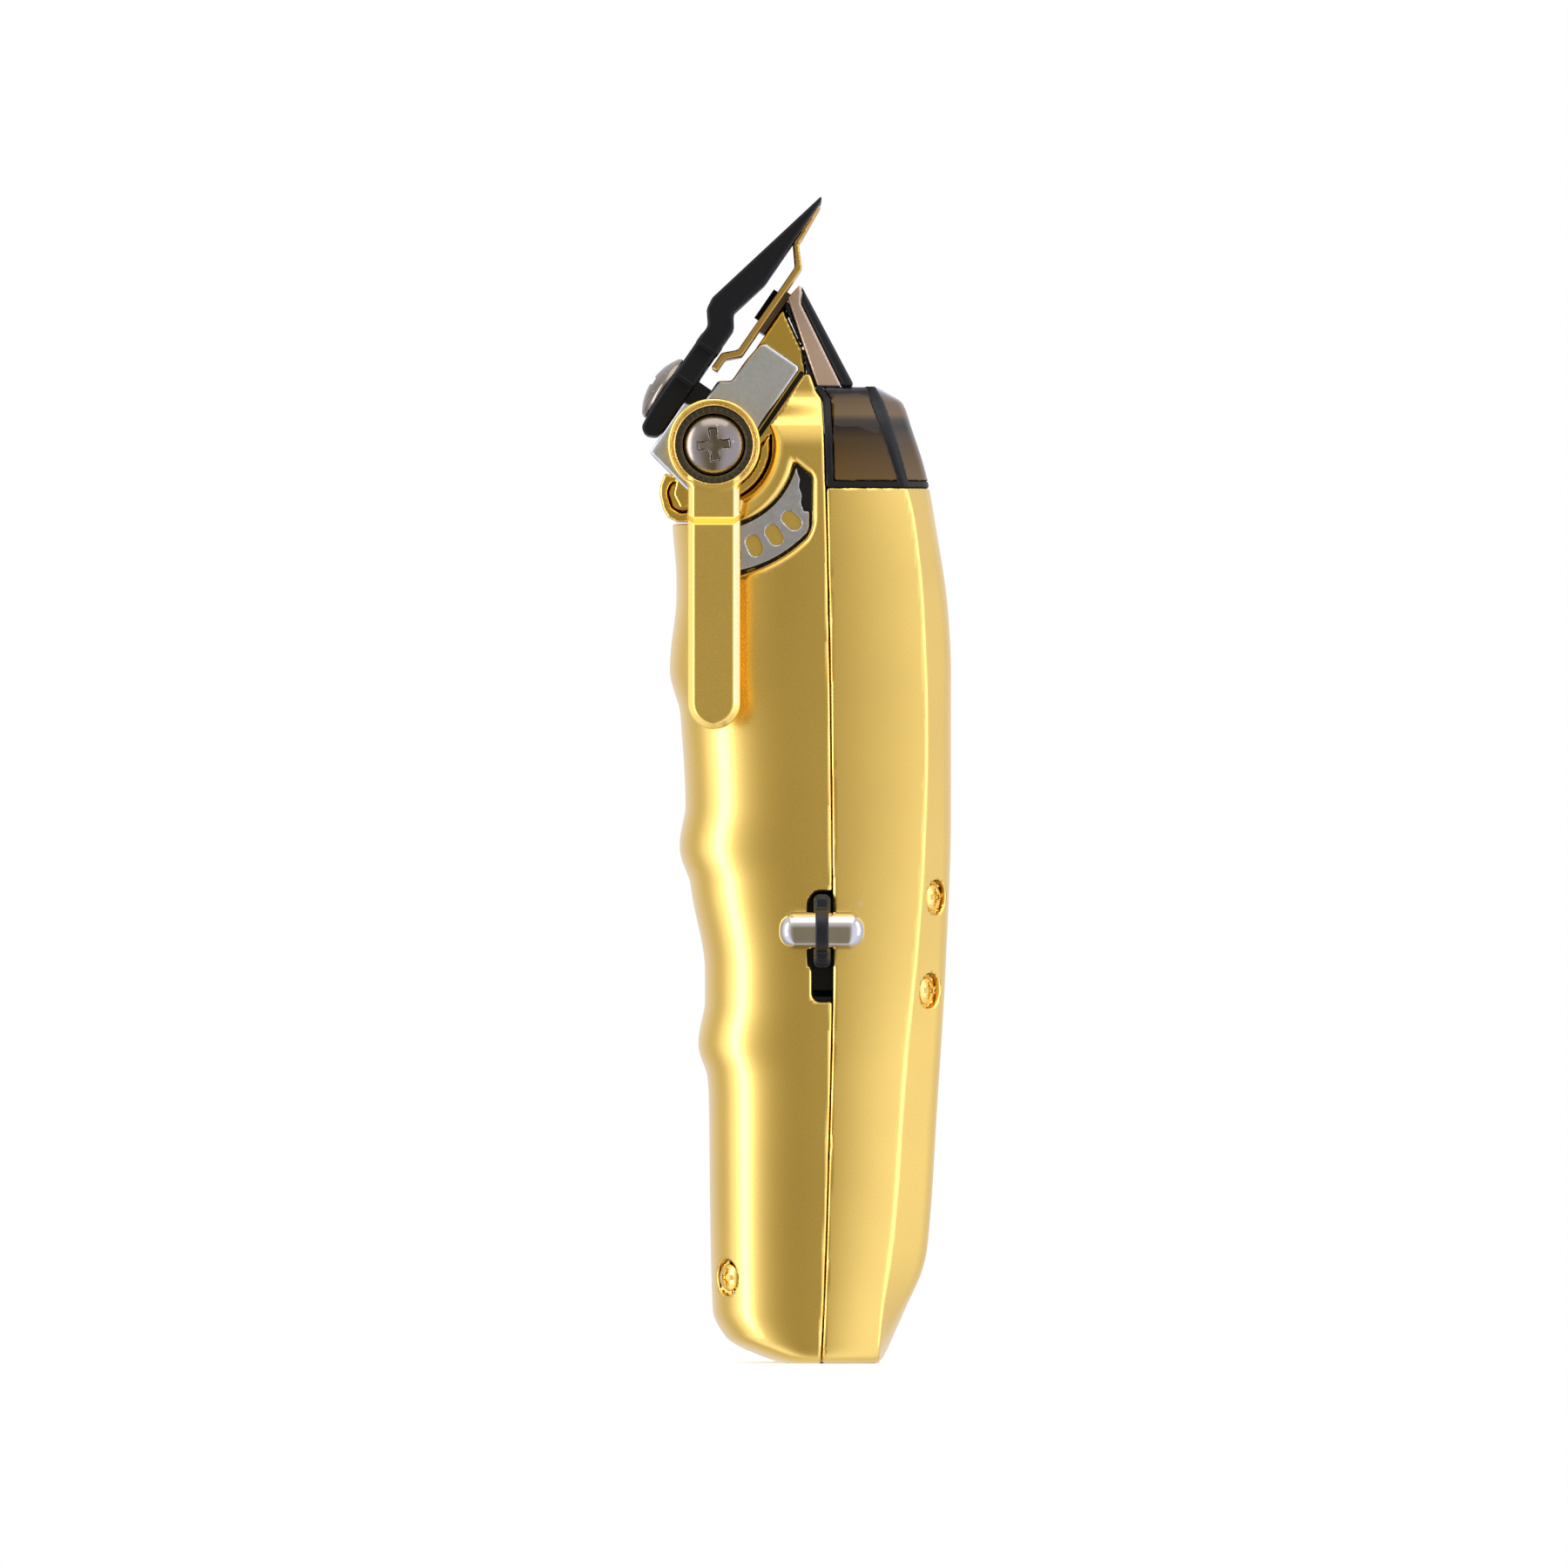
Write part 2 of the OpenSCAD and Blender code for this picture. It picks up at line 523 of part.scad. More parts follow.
// Magnets inside the can, and the wound armature on the shaft.
magnet_r = motor_r - 1.05;
armature_r = magnet_r - 2.4;
core_h = 16;
core_z = motor_z + 8;
module motor_magnets() color("dimgray") translate([0, motor_y, core_z]) difference() {
    cylinder(r = magnet_r, h = core_h);
    translate([0, 0, -1]) cylinder(r = magnet_r - 2, h = core_h + 2);
    for (m = [0, 1]) mirror([m, 0, 0]) translate([-1.5, 0, -1]) cube([3, 40, core_h + 2]);
    translate([-1.5, -40, -1]) cube([3, 40, core_h + 2]);
}
module motor_armature() color("peru") translate([0, motor_y, core_z + 0.5]) difference() {
    union() {
        cylinder(r = armature_r, h = core_h - 1);
        translate([0, 0, -3]) cylinder(r = 3.2, h = core_h + 5);
    }
    translate([0, 0, -5]) cylinder(r = shaft_r, h = core_h + 12);
    for (k = [0:2]) rotate([0, 0, 120 * k]) translate([armature_r - 2.2, -0.8, -1])
        cube([4, 1.6, core_h + 2]);
}
module motor_bearing() color("silver") translate([0, motor_y, motor_top - 1]) difference() {
    cylinder(r = 4, h = 2.5);
    translate([0, 0, -1]) cylinder(r = shaft_r + run_fit, h = 5);
}
module motor_mount() color("dimgray") difference() {
    translate([-frame_half_w + 0.6, -15.6, motor_top])
        cube([2 * frame_half_w - 1.2, 21.6, 124 + head_z - motor_top]);
    translate([0, motor_y, motor_top - 1]) cylinder(r = 8, h = 8);
    for (m = [-1, 1]) translate([m * 11, 4, motor_top - 1]) cylinder(r = 1.1, h = 8);
}
module motor_shaft() color("silver") translate([0, motor_y, motor_z + 8])
    cylinder(r = shaft_r, h = crank_z - motor_z - 9);
module eccentric_cam() color("white") translate([0, motor_y, 0]) {
    difference() {
        union() {
            translate([0, 0, crank_z - 8]) cylinder(r = 4.2, h = 5);
            translate([0, 0, crank_z - 3]) cylinder(r = 5, h = 3);
        }
        translate([0, 0, crank_z - 9]) cylinder(r = shaft_r, h = 8);
    }
    translate([0, stroke, crank_z - 0.5]) cylinder(r = crank_pin_r, h = crank_pin_h);
}

// Battery, its cradle and its welded tabs.
module battery_cell() color("royalblue") translate([0, cell_y, cell_z])
    cylinder(r = cell_r, h = cell_len);
module battery_tabs() color("lightgray") for (z = [cell_z - 0.3, cell_z + cell_len])
    translate([-3, cell_y - 3, z]) cube([6, 12, 0.3]);
spine_y = board_y - 2;
module battery_cradle() color("black") difference() {
    union() {
        for (z = [cell_z + 5, cell_z + 26, cell_z + 48]) translate([0, cell_y, z])
            cylinder(r = cell_r + cradle_t, h = 5);
        translate([-7, cell_y + cell_r, cell_z + 5]) cube([14, board_y - cell_y - cell_r, 48]);
    }
    translate([0, cell_y, cell_z - 1]) cylinder(r = cell_r + 0.1, h = cell_len + 2);
    for (z = [board_z0 + 5, board_z0 + 35]) translate([0, 0, z]) y_rod(0.8, spine_y, 20);
}

// Board with its parts, held to the cradle.
module main_board() color("darkgreen") difference() {
    translate([-board_half_w, board_y, board_z0]) cube([2 * board_half_w, board_t, board_z1 - board_z0]);
    for (z = [board_z0 + 5, board_z0 + 35]) translate([0, 0, z]) y_rod(1.2, board_y - 1, 20);
}
module board_components() color("darkslategray") translate([0, board_y + board_t, 0]) {
    translate([-9, 0, 60]) cube([6, 1.2, 6]);
    translate([3, 0, 58]) cube([5, 1, 5]);
    translate([-10, 0, 40]) cube([7, 2.2, 5]);
    translate([4, 0, 44]) cube([6, 1.6, 4]);
    for (z = [28, 33, 38]) translate([7, 0, z]) y_rod(1.6, 0, 2.4);
    for (x = [-8, -4]) translate([x, 0, 26]) cube([2, 0.9, 4]);
}
module board_screws() color("silver") for (z = [board_z0 + 5, board_z0 + 35]) translate([0, 0, z]) {
    y_rod(0.8, spine_y + 0.2, board_y + board_t);
    y_rod(1.7, board_y + board_t, board_y + board_t + 1);
}

// Power switch: the inner switch, its trim, the slider with its collar, and the bright barrel.
cradle_t = 1.4;
switch_room = half_w(switch_z) - shell_wall - cell_r - cradle_t;
switch_in = half_w(switch_z) - shell_wall - 0.45 * switch_room;
switch_depth = 0.35 * switch_room;
module switch_body() color("black")
    translate([switch_in - switch_depth, switch_y - 2.5, slot_z0 + 1])
        cube([switch_depth, 5, slot_z1 - slot_z0 - 2]);
bezel_x = min(half_w(slot_z0), half_w(slot_z1)) - shell_wall - 0.15;
module switch_bezel() color("black") difference() {
    translate([bezel_x - 0.7, switch_y - 2.6, slot_z0 - 1.5]) cube([0.7, 4, slot_z1 - slot_z0 + 3]);
    translate([bezel_x - 2, switch_y - slot_w / 2, slot_z0]) cube([4, slot_w, slot_z1 - slot_z0]);
}
stem_w = slot_w - 0.4;
barrel_x = switch_x + 0.7 + barrel_r;
module switch_slider() color("black") difference() {
    union() {
        translate([switch_in + 0.3, switch_y - stem_w / 2, stem_top - stem_h])
            cube([switch_x - switch_in, stem_w, stem_h]);
        translate([switch_x, switch_y - 1.9, switch_z - 5.6]) cube([1, 3.8, 10.2]);
        translate([barrel_x, 0, switch_z]) y_rod(barrel_r + 0.5, switch_y - 1.05, switch_y + 1.05);
    }
    translate([barrel_x, 0, switch_z]) y_rod(barrel_r + eps, switch_y - 3, switch_y + 3);
}
module switch_barrel() color("silver") translate([barrel_x, 0, switch_z]) {
    half = barrel_len / 2 - barrel_r;
    y_rod(barrel_r, switch_y - half, switch_y + half);
    for (m = [-1, 1]) translate([0, switch_y + m * half, 0]) sphere(r = barrel_r);
}

// Fixed blade: a wedge with teeth along its tip, and a mounting bar below.
contact_n = -0.4;
teeth_len = 6.5;
bar_half_w = blade_w / 2 - 2.6;
tang_half_w = cam_x - 0.2;
tang_s = -34.4;
blade_screw_x = 10;
blade_screw_s = -37.1;
module fixed_blade() color("black") difference() {
    union() {
        blade_plate([[0, 0], [4.9, -21.8], [4.6, -23.7], [blade_t - 0.1, -25.7], [blade_t, -28],
            [contact_n, -28], [contact_n, -24], [-0.1, -23.3], [1, -21.7], [contact_n, -15.5],
            [contact_n, -0.5], [-0.2, 0]], -blade_w / 2, blade_w / 2);
        blade_block(contact_n, blade_t, tang_s, -27.9, bar_half_w);
        blade_plate([[blade_t, tang_s + 0.1], [blade_t, -40.5], [2.7, -43.9], [1.5, -44.6], [0, -43.8],
            [contact_n, -42], [contact_n, tang_s + 0.1]], -tang_half_w, tang_half_w);
    }
    pitch = blade_w / fixed_teeth;
    for (i = [1:fixed_teeth - 1]) blade_frame()
        translate([-blade_w / 2 + pitch * i - pitch * 0.24, -6, -teeth_len]) cube([pitch * 0.48, 8, 10]);
    for (m = [-1, 1]) blade_frame() translate([m * blade_screw_x, 0, blade_screw_s]) y_rod(1.7, -8, 3);
}
module blade_screws() color("gray") for (m = [-1, 1]) blade_frame()
    translate([m * blade_screw_x, 0, blade_screw_s]) rotate([0, 0, -90]) {
        difference() {
            domed_head(5.2, blade_t, blade_t + 2.3, 0.6);
            cross_recess(blade_t + 2.3, 4.2, 1, 1.3);
        }
        x_rod(1.6, -2.2, blade_t + 0.1);
    }

// Moving blade: a bent sheet with teeth, that slides across the fixed blade.
cutter_n = contact_n - 0.05;
guide_s0 = -20.5;
guide_s1 = -15.3;
guide_half_w = 4.9;
module moving_blade() color("gold") difference() {
    blade_plate([[cutter_n, -1], [cutter_n, -8.1], [-2.75, -10.9], [-2.75, -26], [-0.95, -27.8],
        [-0.95, -30.5], [-0.95 - cutter_t, -30.5], [-0.95 - cutter_t, -28.3], [-2.75 - cutter_t, -26.5],
        [-2.75 - cutter_t, -10.4], [cutter_n - 0.85, -7.7], [cutter_n - 0.3, -1]],
        -cutter_w / 2, cutter_w / 2);
    pitch = cutter_w / cutter_teeth;
    for (i = [1:cutter_teeth - 1]) blade_frame()
        translate([-cutter_w / 2 + pitch * i - pitch * 0.22, -3, -7]) cube([pitch * 0.44, 8, 8]);
    blade_block(-6, 0, guide_s0 - 0.1, guide_s1 + 0.1, guide_half_w + 0.1);
}
module cutter_guide() color("black")
    blade_block(-2.75 - cutter_t, -1.95, guide_s0, guide_s1, guide_half_w);

// Fork that the crank pin drives, carried by the moving blade.
fork_n = -2.8 - cutter_t;
fork_z0 = crank_z + 1.3;
fork_z1 = crank_z + crank_pin_h - 1.2;
fork_slot = crank_pin_r + 2 * stroke + 0.2;
fork_front = motor_y - stroke - crank_pin_r - 0.6;
module drive_fork() color("saddlebrown") difference() {
    union() {
        blade_block(fork_n - 0.8, fork_n + 0.05, -21.9, -14.6, 14);
        side_plate([blade_pt(fork_n - 0.7, -15.6), [fork_front, 150 + head_z], [fork_front, fork_z0],
            [fork_front - 2.6, fork_z0], [fork_front - 2.6, 150 + head_z], blade_pt(fork_n - 0.7, -21.6)],
            -3.5, 3.5);
        translate([-fork_slot - 1.6, fork_front - 2.6, fork_z0])
            cube([2 * fork_slot + 3.2, 10.6, fork_z1 - fork_z0]);
    }
    translate([-fork_slot, fork_front, fork_z0 - 1]) cube([2 * fork_slot, 20, fork_z1 - fork_z0 + 2]);
}
// Two spring wires that press the moving blade against the fixed one.
spring_x = frame_half_w - 5;
module cutter_spring() color("silver") for (m = [-1, 1]) blade_frame() {
    translate([m * spring_x, 8.4, -24]) rotate([atan2(fork_n + 7.2, 8), 0, 0]) cylinder(r = 0.45, h = 8.2);
    translate([m * spring_x, 8.4, -24]) rotate([0, m * 90, 0]) cylinder(r = 0.45, h = 2);
}

// Blade carrier: a front wall with two side flanges; the crank slot is in the lever side's flange.
flange = [[-5.6, -22.8], [-11.6, -22.8], [-12.1, -23.3], [-12.1, -37], [-13.6, -41], [-13, -45],
    [-9, -47.7], [-8.3, -47.8], [-0.9, -46.4], [-0.9, -37], [-2.9, -35.6], [-2.9, -31.6],
    [-4.6, -30.4], [-4.6, -26.9], [-5, -23.4]];
wall_top_s = -37;
tab_s = -34.4;
tab_half_w = frame_half_w - 1.4;
module blade_carrier() color("silver") difference() {
    union() {
        for (m = [0, 1]) mirror([m, 0, 0]) blade_plate(flange, flange_x, carrier_half_w);
        blade_block(-2.6, -0.5, -46.3, wall_top_s, carrier_half_w);
        blade_block(-2.6, -1.6, wall_top_s - 0.5, tab_s, tab_half_w);
    }
    at_pivot() rotate([-blade_angle, 0, 0]) {
        for (s = [0, -carrier_travel]) translate([0, 0, s]) x_rod(1.85, flange_x - 1, 40);
        translate([flange_x - 1, -1.85, -carrier_travel]) cube([5, 3.7, carrier_travel]);
        translate([flange_x - 1, 0, -carrier_travel / 2 - cam_pin_r - run_fit])
            cube([5, cam_throw + cam_pin_r + 0.3, 2 * cam_pin_r + 2 * run_fit]);
    }
    for (m = [-1, 1]) blade_frame() translate([m * blade_screw_x, 0, blade_screw_s]) y_rod(1.6, -1, 5);
}
module carrier_spacer() color("black") difference() {
    blade_block(-2.8, -0.5, wall_top_s + 0.05, -33.3, flange_x - 0.1);
    blade_block(-4, -1.55, wall_top_s - 1, tab_s + 0.05, tab_half_w + 0.05);
    for (m = [-1, 1]) blade_frame() translate([m * blade_screw_x, 0, blade_screw_s]) y_rod(1.65, -1, 5);
}

// Cam behind the lever, with the crank pin that moves the carrier.
module lever_cam() color("gold") at_pivot() difference() {
    union() {
        x_rod(cam_r, cam_x, hub_x);
        translate([0, cam_pin[0], cam_pin[1]]) x_rod(cam_pin_r, flange_x + 0.15, cam_x + 0.5);
    }
    x_rod(shoulder_r + run_fit, cam_x - 1, hub_x + 1);
}

// Lever: a ring, a neck and a long paddle, pointing straight down at rest.
neck_w = lever_w - 0.2;
neck_len = 11.6;
bevel = 1;
module paddle_outline(inset, h) {
    r = lever_w / 2 - inset;
    translate([0, -r, -lever_len + lever_w / 2])
        cube([h, 2 * r, lever_len - lever_w / 2 - neck_len - inset]);
    translate([0, 0, -lever_len + lever_w / 2]) x_rod(r, 0, h);
}
module taper_lever() color("gold") at_pivot() difference() {
    union() {
        x_rod(lever_ring_r, hub_x, ring_top);
        translate([lever_x, -neck_w / 2, -neck_len - 0.5]) cube([neck_t, neck_w, neck_len - 4]);
        translate([lever_x, 0, 0]) paddle_outline(0, paddle_t - bevel);
        translate([lever_x + paddle_t - bevel - eps, 0, 0]) paddle_outline(bevel, bevel);
    }
    x_rod(washer_r, hub_x + hub_floor, 50);
    x_rod(shoulder_r + run_fit, hub_x - 1, hub_x + 5);
}
module lever_lock_washer() color("dimgray") at_pivot() difference() {
    x_rod(washer_r, hub_x + hub_floor, ring_top - 0.6);
    x_rod(screw_head_r + 0.15, hub_x, 50);
}
module detent_plunger() color("silver") at_pivot() rotate([detent_a0, 0, 0])
    translate([0, 0, -detent_r]) x_rod(0.9, pocket_floor + plate_t + 0.1, lever_x);

front_shell();
rear_shell();
head_frame();
drive_window();
window_gasket();
nose_hood();
nose_hood_skin();
base_plate();
charge_inlet();
charge_contacts();
detent_plate();
lever_screw();
front_shell_screws();
rear_shell_screws();
indicator_lens();
led();
motor_can();
motor_end_cap();
motor_bearing();
motor_mount();
motor_magnets();
motor_armature();
battery_cell();
battery_cradle();
battery_tabs();
main_board();
board_components();
board_screws();
switch_body();
switch_bezel();
motor_shaft();
eccentric_cam();
moving_blade();
cutter_guide();
drive_fork();
cutter_spring();
blade_carrier();
carrier_spacer();
fixed_blade();
blade_screws();
taper_lever();
lever_cam();
lever_lock_washer();
detent_plunger();
switch_slider();
switch_barrel();
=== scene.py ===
"""Hair clipper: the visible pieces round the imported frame, with the room and the camera."""
import json
import math
import bpy
import numpy as np
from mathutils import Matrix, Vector


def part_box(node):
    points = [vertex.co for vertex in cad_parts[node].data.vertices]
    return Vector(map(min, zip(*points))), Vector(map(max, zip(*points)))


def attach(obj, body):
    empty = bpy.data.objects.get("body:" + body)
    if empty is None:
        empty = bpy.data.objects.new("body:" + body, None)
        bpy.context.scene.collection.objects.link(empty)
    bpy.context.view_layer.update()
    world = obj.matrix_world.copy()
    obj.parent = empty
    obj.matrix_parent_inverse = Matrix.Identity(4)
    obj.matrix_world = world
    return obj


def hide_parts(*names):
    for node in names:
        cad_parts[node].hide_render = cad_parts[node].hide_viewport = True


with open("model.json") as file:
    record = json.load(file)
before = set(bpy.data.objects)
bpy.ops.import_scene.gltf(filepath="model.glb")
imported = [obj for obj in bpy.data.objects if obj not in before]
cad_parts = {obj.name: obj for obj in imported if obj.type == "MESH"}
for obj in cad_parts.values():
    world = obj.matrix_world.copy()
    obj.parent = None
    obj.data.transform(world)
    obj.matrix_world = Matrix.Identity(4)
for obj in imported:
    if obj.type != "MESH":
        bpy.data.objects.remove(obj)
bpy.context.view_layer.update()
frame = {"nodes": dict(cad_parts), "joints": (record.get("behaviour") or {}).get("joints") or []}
MM = 0.001  # fields and measures are in millimetres, the scene is in metres
COARSE = 1.0


# ---------------- fields
# A field gives the distance to a surface in millimetres, negative inside.
def meet(a, b, r=0.0):
    """Inside both, with the edge between them rounded."""
    return np.minimum(-r, np.maximum(a, b)) + np.hypot(np.maximum(r + a, 0), np.maximum(r + b, 0))


def join(a, b, r=0.0):
    """Inside either, with the corner between them filled."""
    return np.maximum(r, np.minimum(a, b)) - np.hypot(np.maximum(r - a, 0), np.maximum(r - b, 0))


def cut(a, b, r=0.0):
    """Inside the first and outside the second."""
    return meet(a, -b, r)


def slab(v, lo, hi):
    """Between two parallel planes."""
    return np.maximum(lo - v, v - hi)


def step_up(v, lo, hi):
    """Smooth rise from 0 at lo to 1 at hi."""
    t = np.clip((v - lo) / (hi - lo), 0, 1)
    return t * t * (3 - 2 * t)


def polygon(a, b, pts):
    """Distance to a closed outline in a plane."""
    a, b = np.asarray(a, np.float32), np.asarray(b, np.float32)
    best = np.float32(1e9)
    inside = np.zeros(np.broadcast(a, b).shape, bool)
    for (ax, ay), (bx, by) in zip(pts, pts[1:] + pts[:1]):
        ex, ey = bx - ax, by - ay
        wx, wy = a - ax, b - ay
        t = np.clip((wx * ex + wy * ey) / (ex * ex + ey * ey), 0, 1)
        best = np.minimum(best, (wx - ex * t) ** 2 + (wy - ey * t) ** 2)
        if ey:
            inside ^= ((ay <= b) != (by <= b)) & (a < ax + (b - ay) * (ex / ey))
    return np.where(inside, -1, 1) * np.sqrt(best)


def filleted(pts, radii, n=5):
    """The outline with each corner turned into a short curve."""
    if not isinstance(radii, (list, tuple)):
        radii = [radii] * len(pts)
    out = []
    for i, (p, r) in enumerate(zip(pts, radii)):
        if r <= 0:
            out.append(tuple(p))
            continue
        p = np.array(p, float)
        u, v = np.array(pts[i - 1]) - p, np.array(pts[(i + 1) % len(pts)]) - p
        lu, lv = np.hypot(*u), np.hypot(*v)
        u, v = u / lu, v / lv
        half = math.acos(float(np.clip(u @ v, -1, 1))) / 2
        t = min(r / math.tan(half) if half > 0.01 else lu, 0.47 * lu, 0.47 * lv)
        for k in range(n + 1):
            w = k / n
            out.append(tuple((1 - w) ** 2 * (p + u * t) + 2 * w * (1 - w) * p + w ** 2 * (p + v * t)))
    return out


def obround(a, b, half, r):
    """Slot shape along b."""
    return np.hypot(a, np.maximum(np.abs(b) - half, 0)) - r


def dome(a, b, x, r, top, rise, base, edge):
    """Screw head: a straight rim under a ball crown."""
    ball = (r * r + rise * rise) / (2 * rise)
    crown = np.sqrt(a * a + b * b + (x - top + ball) ** 2) - ball
    return meet(meet(np.hypot(a, b) - r, crown, edge), base - x, 0.1)


def phillips(a, b, x, top, reach, arm, depth):
    """Cross recess with flared arms and hollow corners, sloping to its middle."""
    r = np.hypot(a, b)
    ang = np.arctan2(b, a)
    fold = np.abs((ang + math.pi / 4) % (math.pi / 2) - math.pi / 4)
    u, v = r * np.cos(fold), r * np.sin(fold)
    side = v - arm * (1 + 0.22 * np.clip(u / reach, 0, 1))
    arms = meet(side, u - reach, 0.12)
    core = r - arm * 1.9
    sink = top - depth * (1 - 0.12 * np.clip(r / reach, 0, 1)) - x
    return meet(join(arms, core, 0.45), sink, 0.15)


# ---------------- meshing
PULLS = 4         # how often the vertices are pulled onto the surface
PULL_LIMIT = 0.6  # longest pull, as a share of a cell
PULL_PROBE, NORMAL_PROBE = 0.03, 0.04  # half steps of the slopes


def axis_points(lo, hi, step, zones):
    """Grid lines along one axis, closer together inside the (from, to, step) zones."""
    out, v = [lo], lo
    while v < hi:
        size = step
        for a, b, s in zones:
            if a - 1e-6 <= v < b:
                size = min(size, s)
        v += size * COARSE
        out.append(v)
    return np.array(out, np.float32)


def surface(field, xs, ys, zs):
    """Vertices and quads of the surface where the field crosses zero, and its normals."""
    grid = (xs[:, None, None], ys[None, :, None], zs[None, None, :])
    f = np.broadcast_to(field(*grid), (len(xs), len(ys), len(zs))).astype(np.float32)
    neg = f < 0
    count = np.zeros(tuple(n - 1 for n in f.shape), np.int8)
    corners = [(i, j, k) for i in (0, 1) for j in (0, 1) for k in (0, 1)]
    nx, ny, nz = count.shape
    for i, j, k in corners:
        count += neg[i:i + nx, j:j + ny, k:k + nz]
    cells = np.argwhere((count > 0) & (count < 8))
    index = np.full(count.shape, -1, np.int32)
    index[tuple(cells.T)] = np.arange(len(cells))
    value = {c: f[tuple((cells + c).T)] for c in corners}
    place = {c: np.stack([g[cells[:, m] + c[m]] for m, g in enumerate((xs, ys, zs))], 1)
             for c in corners}
    total, hits = np.zeros((len(cells), 3)), np.zeros((len(cells), 1))
    for c in corners:
        for m in range(3):
            if c[m]:
                continue
            d = tuple(v + (n == m) for n, v in enumerate(c))
            crossing = (value[c] < 0) != (value[d] < 0)
            t = np.where(crossing, value[c] / np.where(crossing, value[c] - value[d], 1), 0)[:, None]
            total += (place[c] + t * (place[d] - place[c])) * crossing[:, None]
            hits += crossing[:, None]
    co = total / hits
    quads = []
    for m in range(3):
        a = [slice(1, -1)] * 3
        b = [slice(1, -1)] * 3
        a[m], b[m] = slice(0, -1), slice(1, None)
        first, second = neg[tuple(a)], neg[tuple(b)]
        at = np.argwhere(first != second)
        out = first[tuple(at.T)]
        at = at + 1
        at[:, m] -= 1
        p, q = (m + 1) % 3, (m + 2) % 3
        ring = []
        for dp, dq in ((-1, -1), (0, -1), (0, 0), (-1, 0)):
            c = at.copy()
            c[:, p] += dp
            c[:, q] += dq
            ring.append(index[tuple(c.T)])
        ring = np.stack(ring, 1)
        quads.append(np.where(out[:, None], ring, ring[:, ::-1]))
    cell = float(np.median(np.diff(xs)))
    for _ in range(PULLS):
        g = gradient(field, co, PULL_PROBE)
        value_here = at_points(field, co)
        size = np.maximum((g * g).sum(1), 0.1)
        move = -g * (value_here / size)[:, None]
        length = np.linalg.norm(move, axis=1, keepdims=True)
        co = co + move * np.minimum(1, PULL_LIMIT * cell / np.maximum(length, 1e-9))
    g = gradient(field, co, NORMAL_PROBE)
    normals = g / np.maximum(np.linalg.norm(g, axis=1, keepdims=True), 1e-9)
    return co, np.concatenate(quads), normals


def at_points(field, p):
    return np.asarray(field(p[:, 0], p[:, 1], p[:, 2]), float)


def gradient(field, p, h):
    """Slope of a field along the three axes."""
    out = np.empty_like(p)
    for m in range(3):
        d = np.zeros(3)
        d[m] = h
        out[:, m] = (at_points(field, p + d) - at_points(field, p - d)) / (2 * h)
    return out


def solid(name, field, lo, hi, step, body, nodes, mat, zones=None, place=None):
    """Mesh of a field, put on its body in place of the CAD nodes that it details."""
    zones = zones or {}
    axes = [axis_points(lo[m], hi[m], step, zones.get("xyz"[m], [])) for m in range(3)]
    co, quads, normals = surface(field, *axes)
    if place is not None:
        turn, offset = place
        co, normals = co @ turn.T + offset, normals @ turn.T
        if np.linalg.det(turn) < 0:
            quads = quads[:, ::-1]
    mesh = bpy.data.meshes.new(name)
    mesh.vertices.add(len(co))
    mesh.vertices.foreach_set("co", (co * MM).astype(np.float32).ravel())
    mesh.loops.add(quads.size)
    mesh.loops.foreach_set("vertex_index", quads.astype(np.int32).ravel())
    mesh.polygons.add(len(quads))
    mesh.polygons.foreach_set("loop_start", np.arange(0, quads.size, 4, dtype=np.int32))
    mesh.polygons.foreach_set("use_smooth", np.ones(len(quads), bool))
    mesh.update(calc_edges=True)
    mesh.validate()
    if len(mesh.vertices) == len(normals):
        mesh.normals_split_custom_set_from_vertices(normals.astype(np.float32))
    obj = bpy.data.objects.new(name, mesh)
    bpy.context.scene.collection.objects.link(obj)
    mesh.materials.append(mat)
    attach(obj, body)
    if nodes:
        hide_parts(*nodes)


# ---------------- materials
NOISE_LOW, NOISE_HIGH = 0.3, 0.7   # the part of a noise's range that counts
# Sharp edges are painted paler, partly as wear and partly as a painted highlight along them.
EDGE_WEAR_AND_HIGHLIGHT_FROM, EDGE_WEAR_AND_HIGHLIGHT_FULL = 0.55, 0.68  # pointiness where an edge starts to show, and shows fully
RELIEF_DEPTH = 0.0003              # metres


def fill_ramp(ramp, rows):
    """Stops of a colour ramp, from (position, colour) rows."""
    stops = ramp.color_ramp.elements
    while len(stops) > 1:
        stops.remove(stops[-1])
    for k, (at, tone) in enumerate(rows):
        stop = stops[0] if k == 0 else stops.new(at)
        stop.position, stop.color = at, (*tone, 1)


def preset(node, **values):
    """Sets a node's sockets, with _ for the spaces in their names."""
    for key, value in values.items():
        node.inputs[key.replace("_", " ")].default_value = value


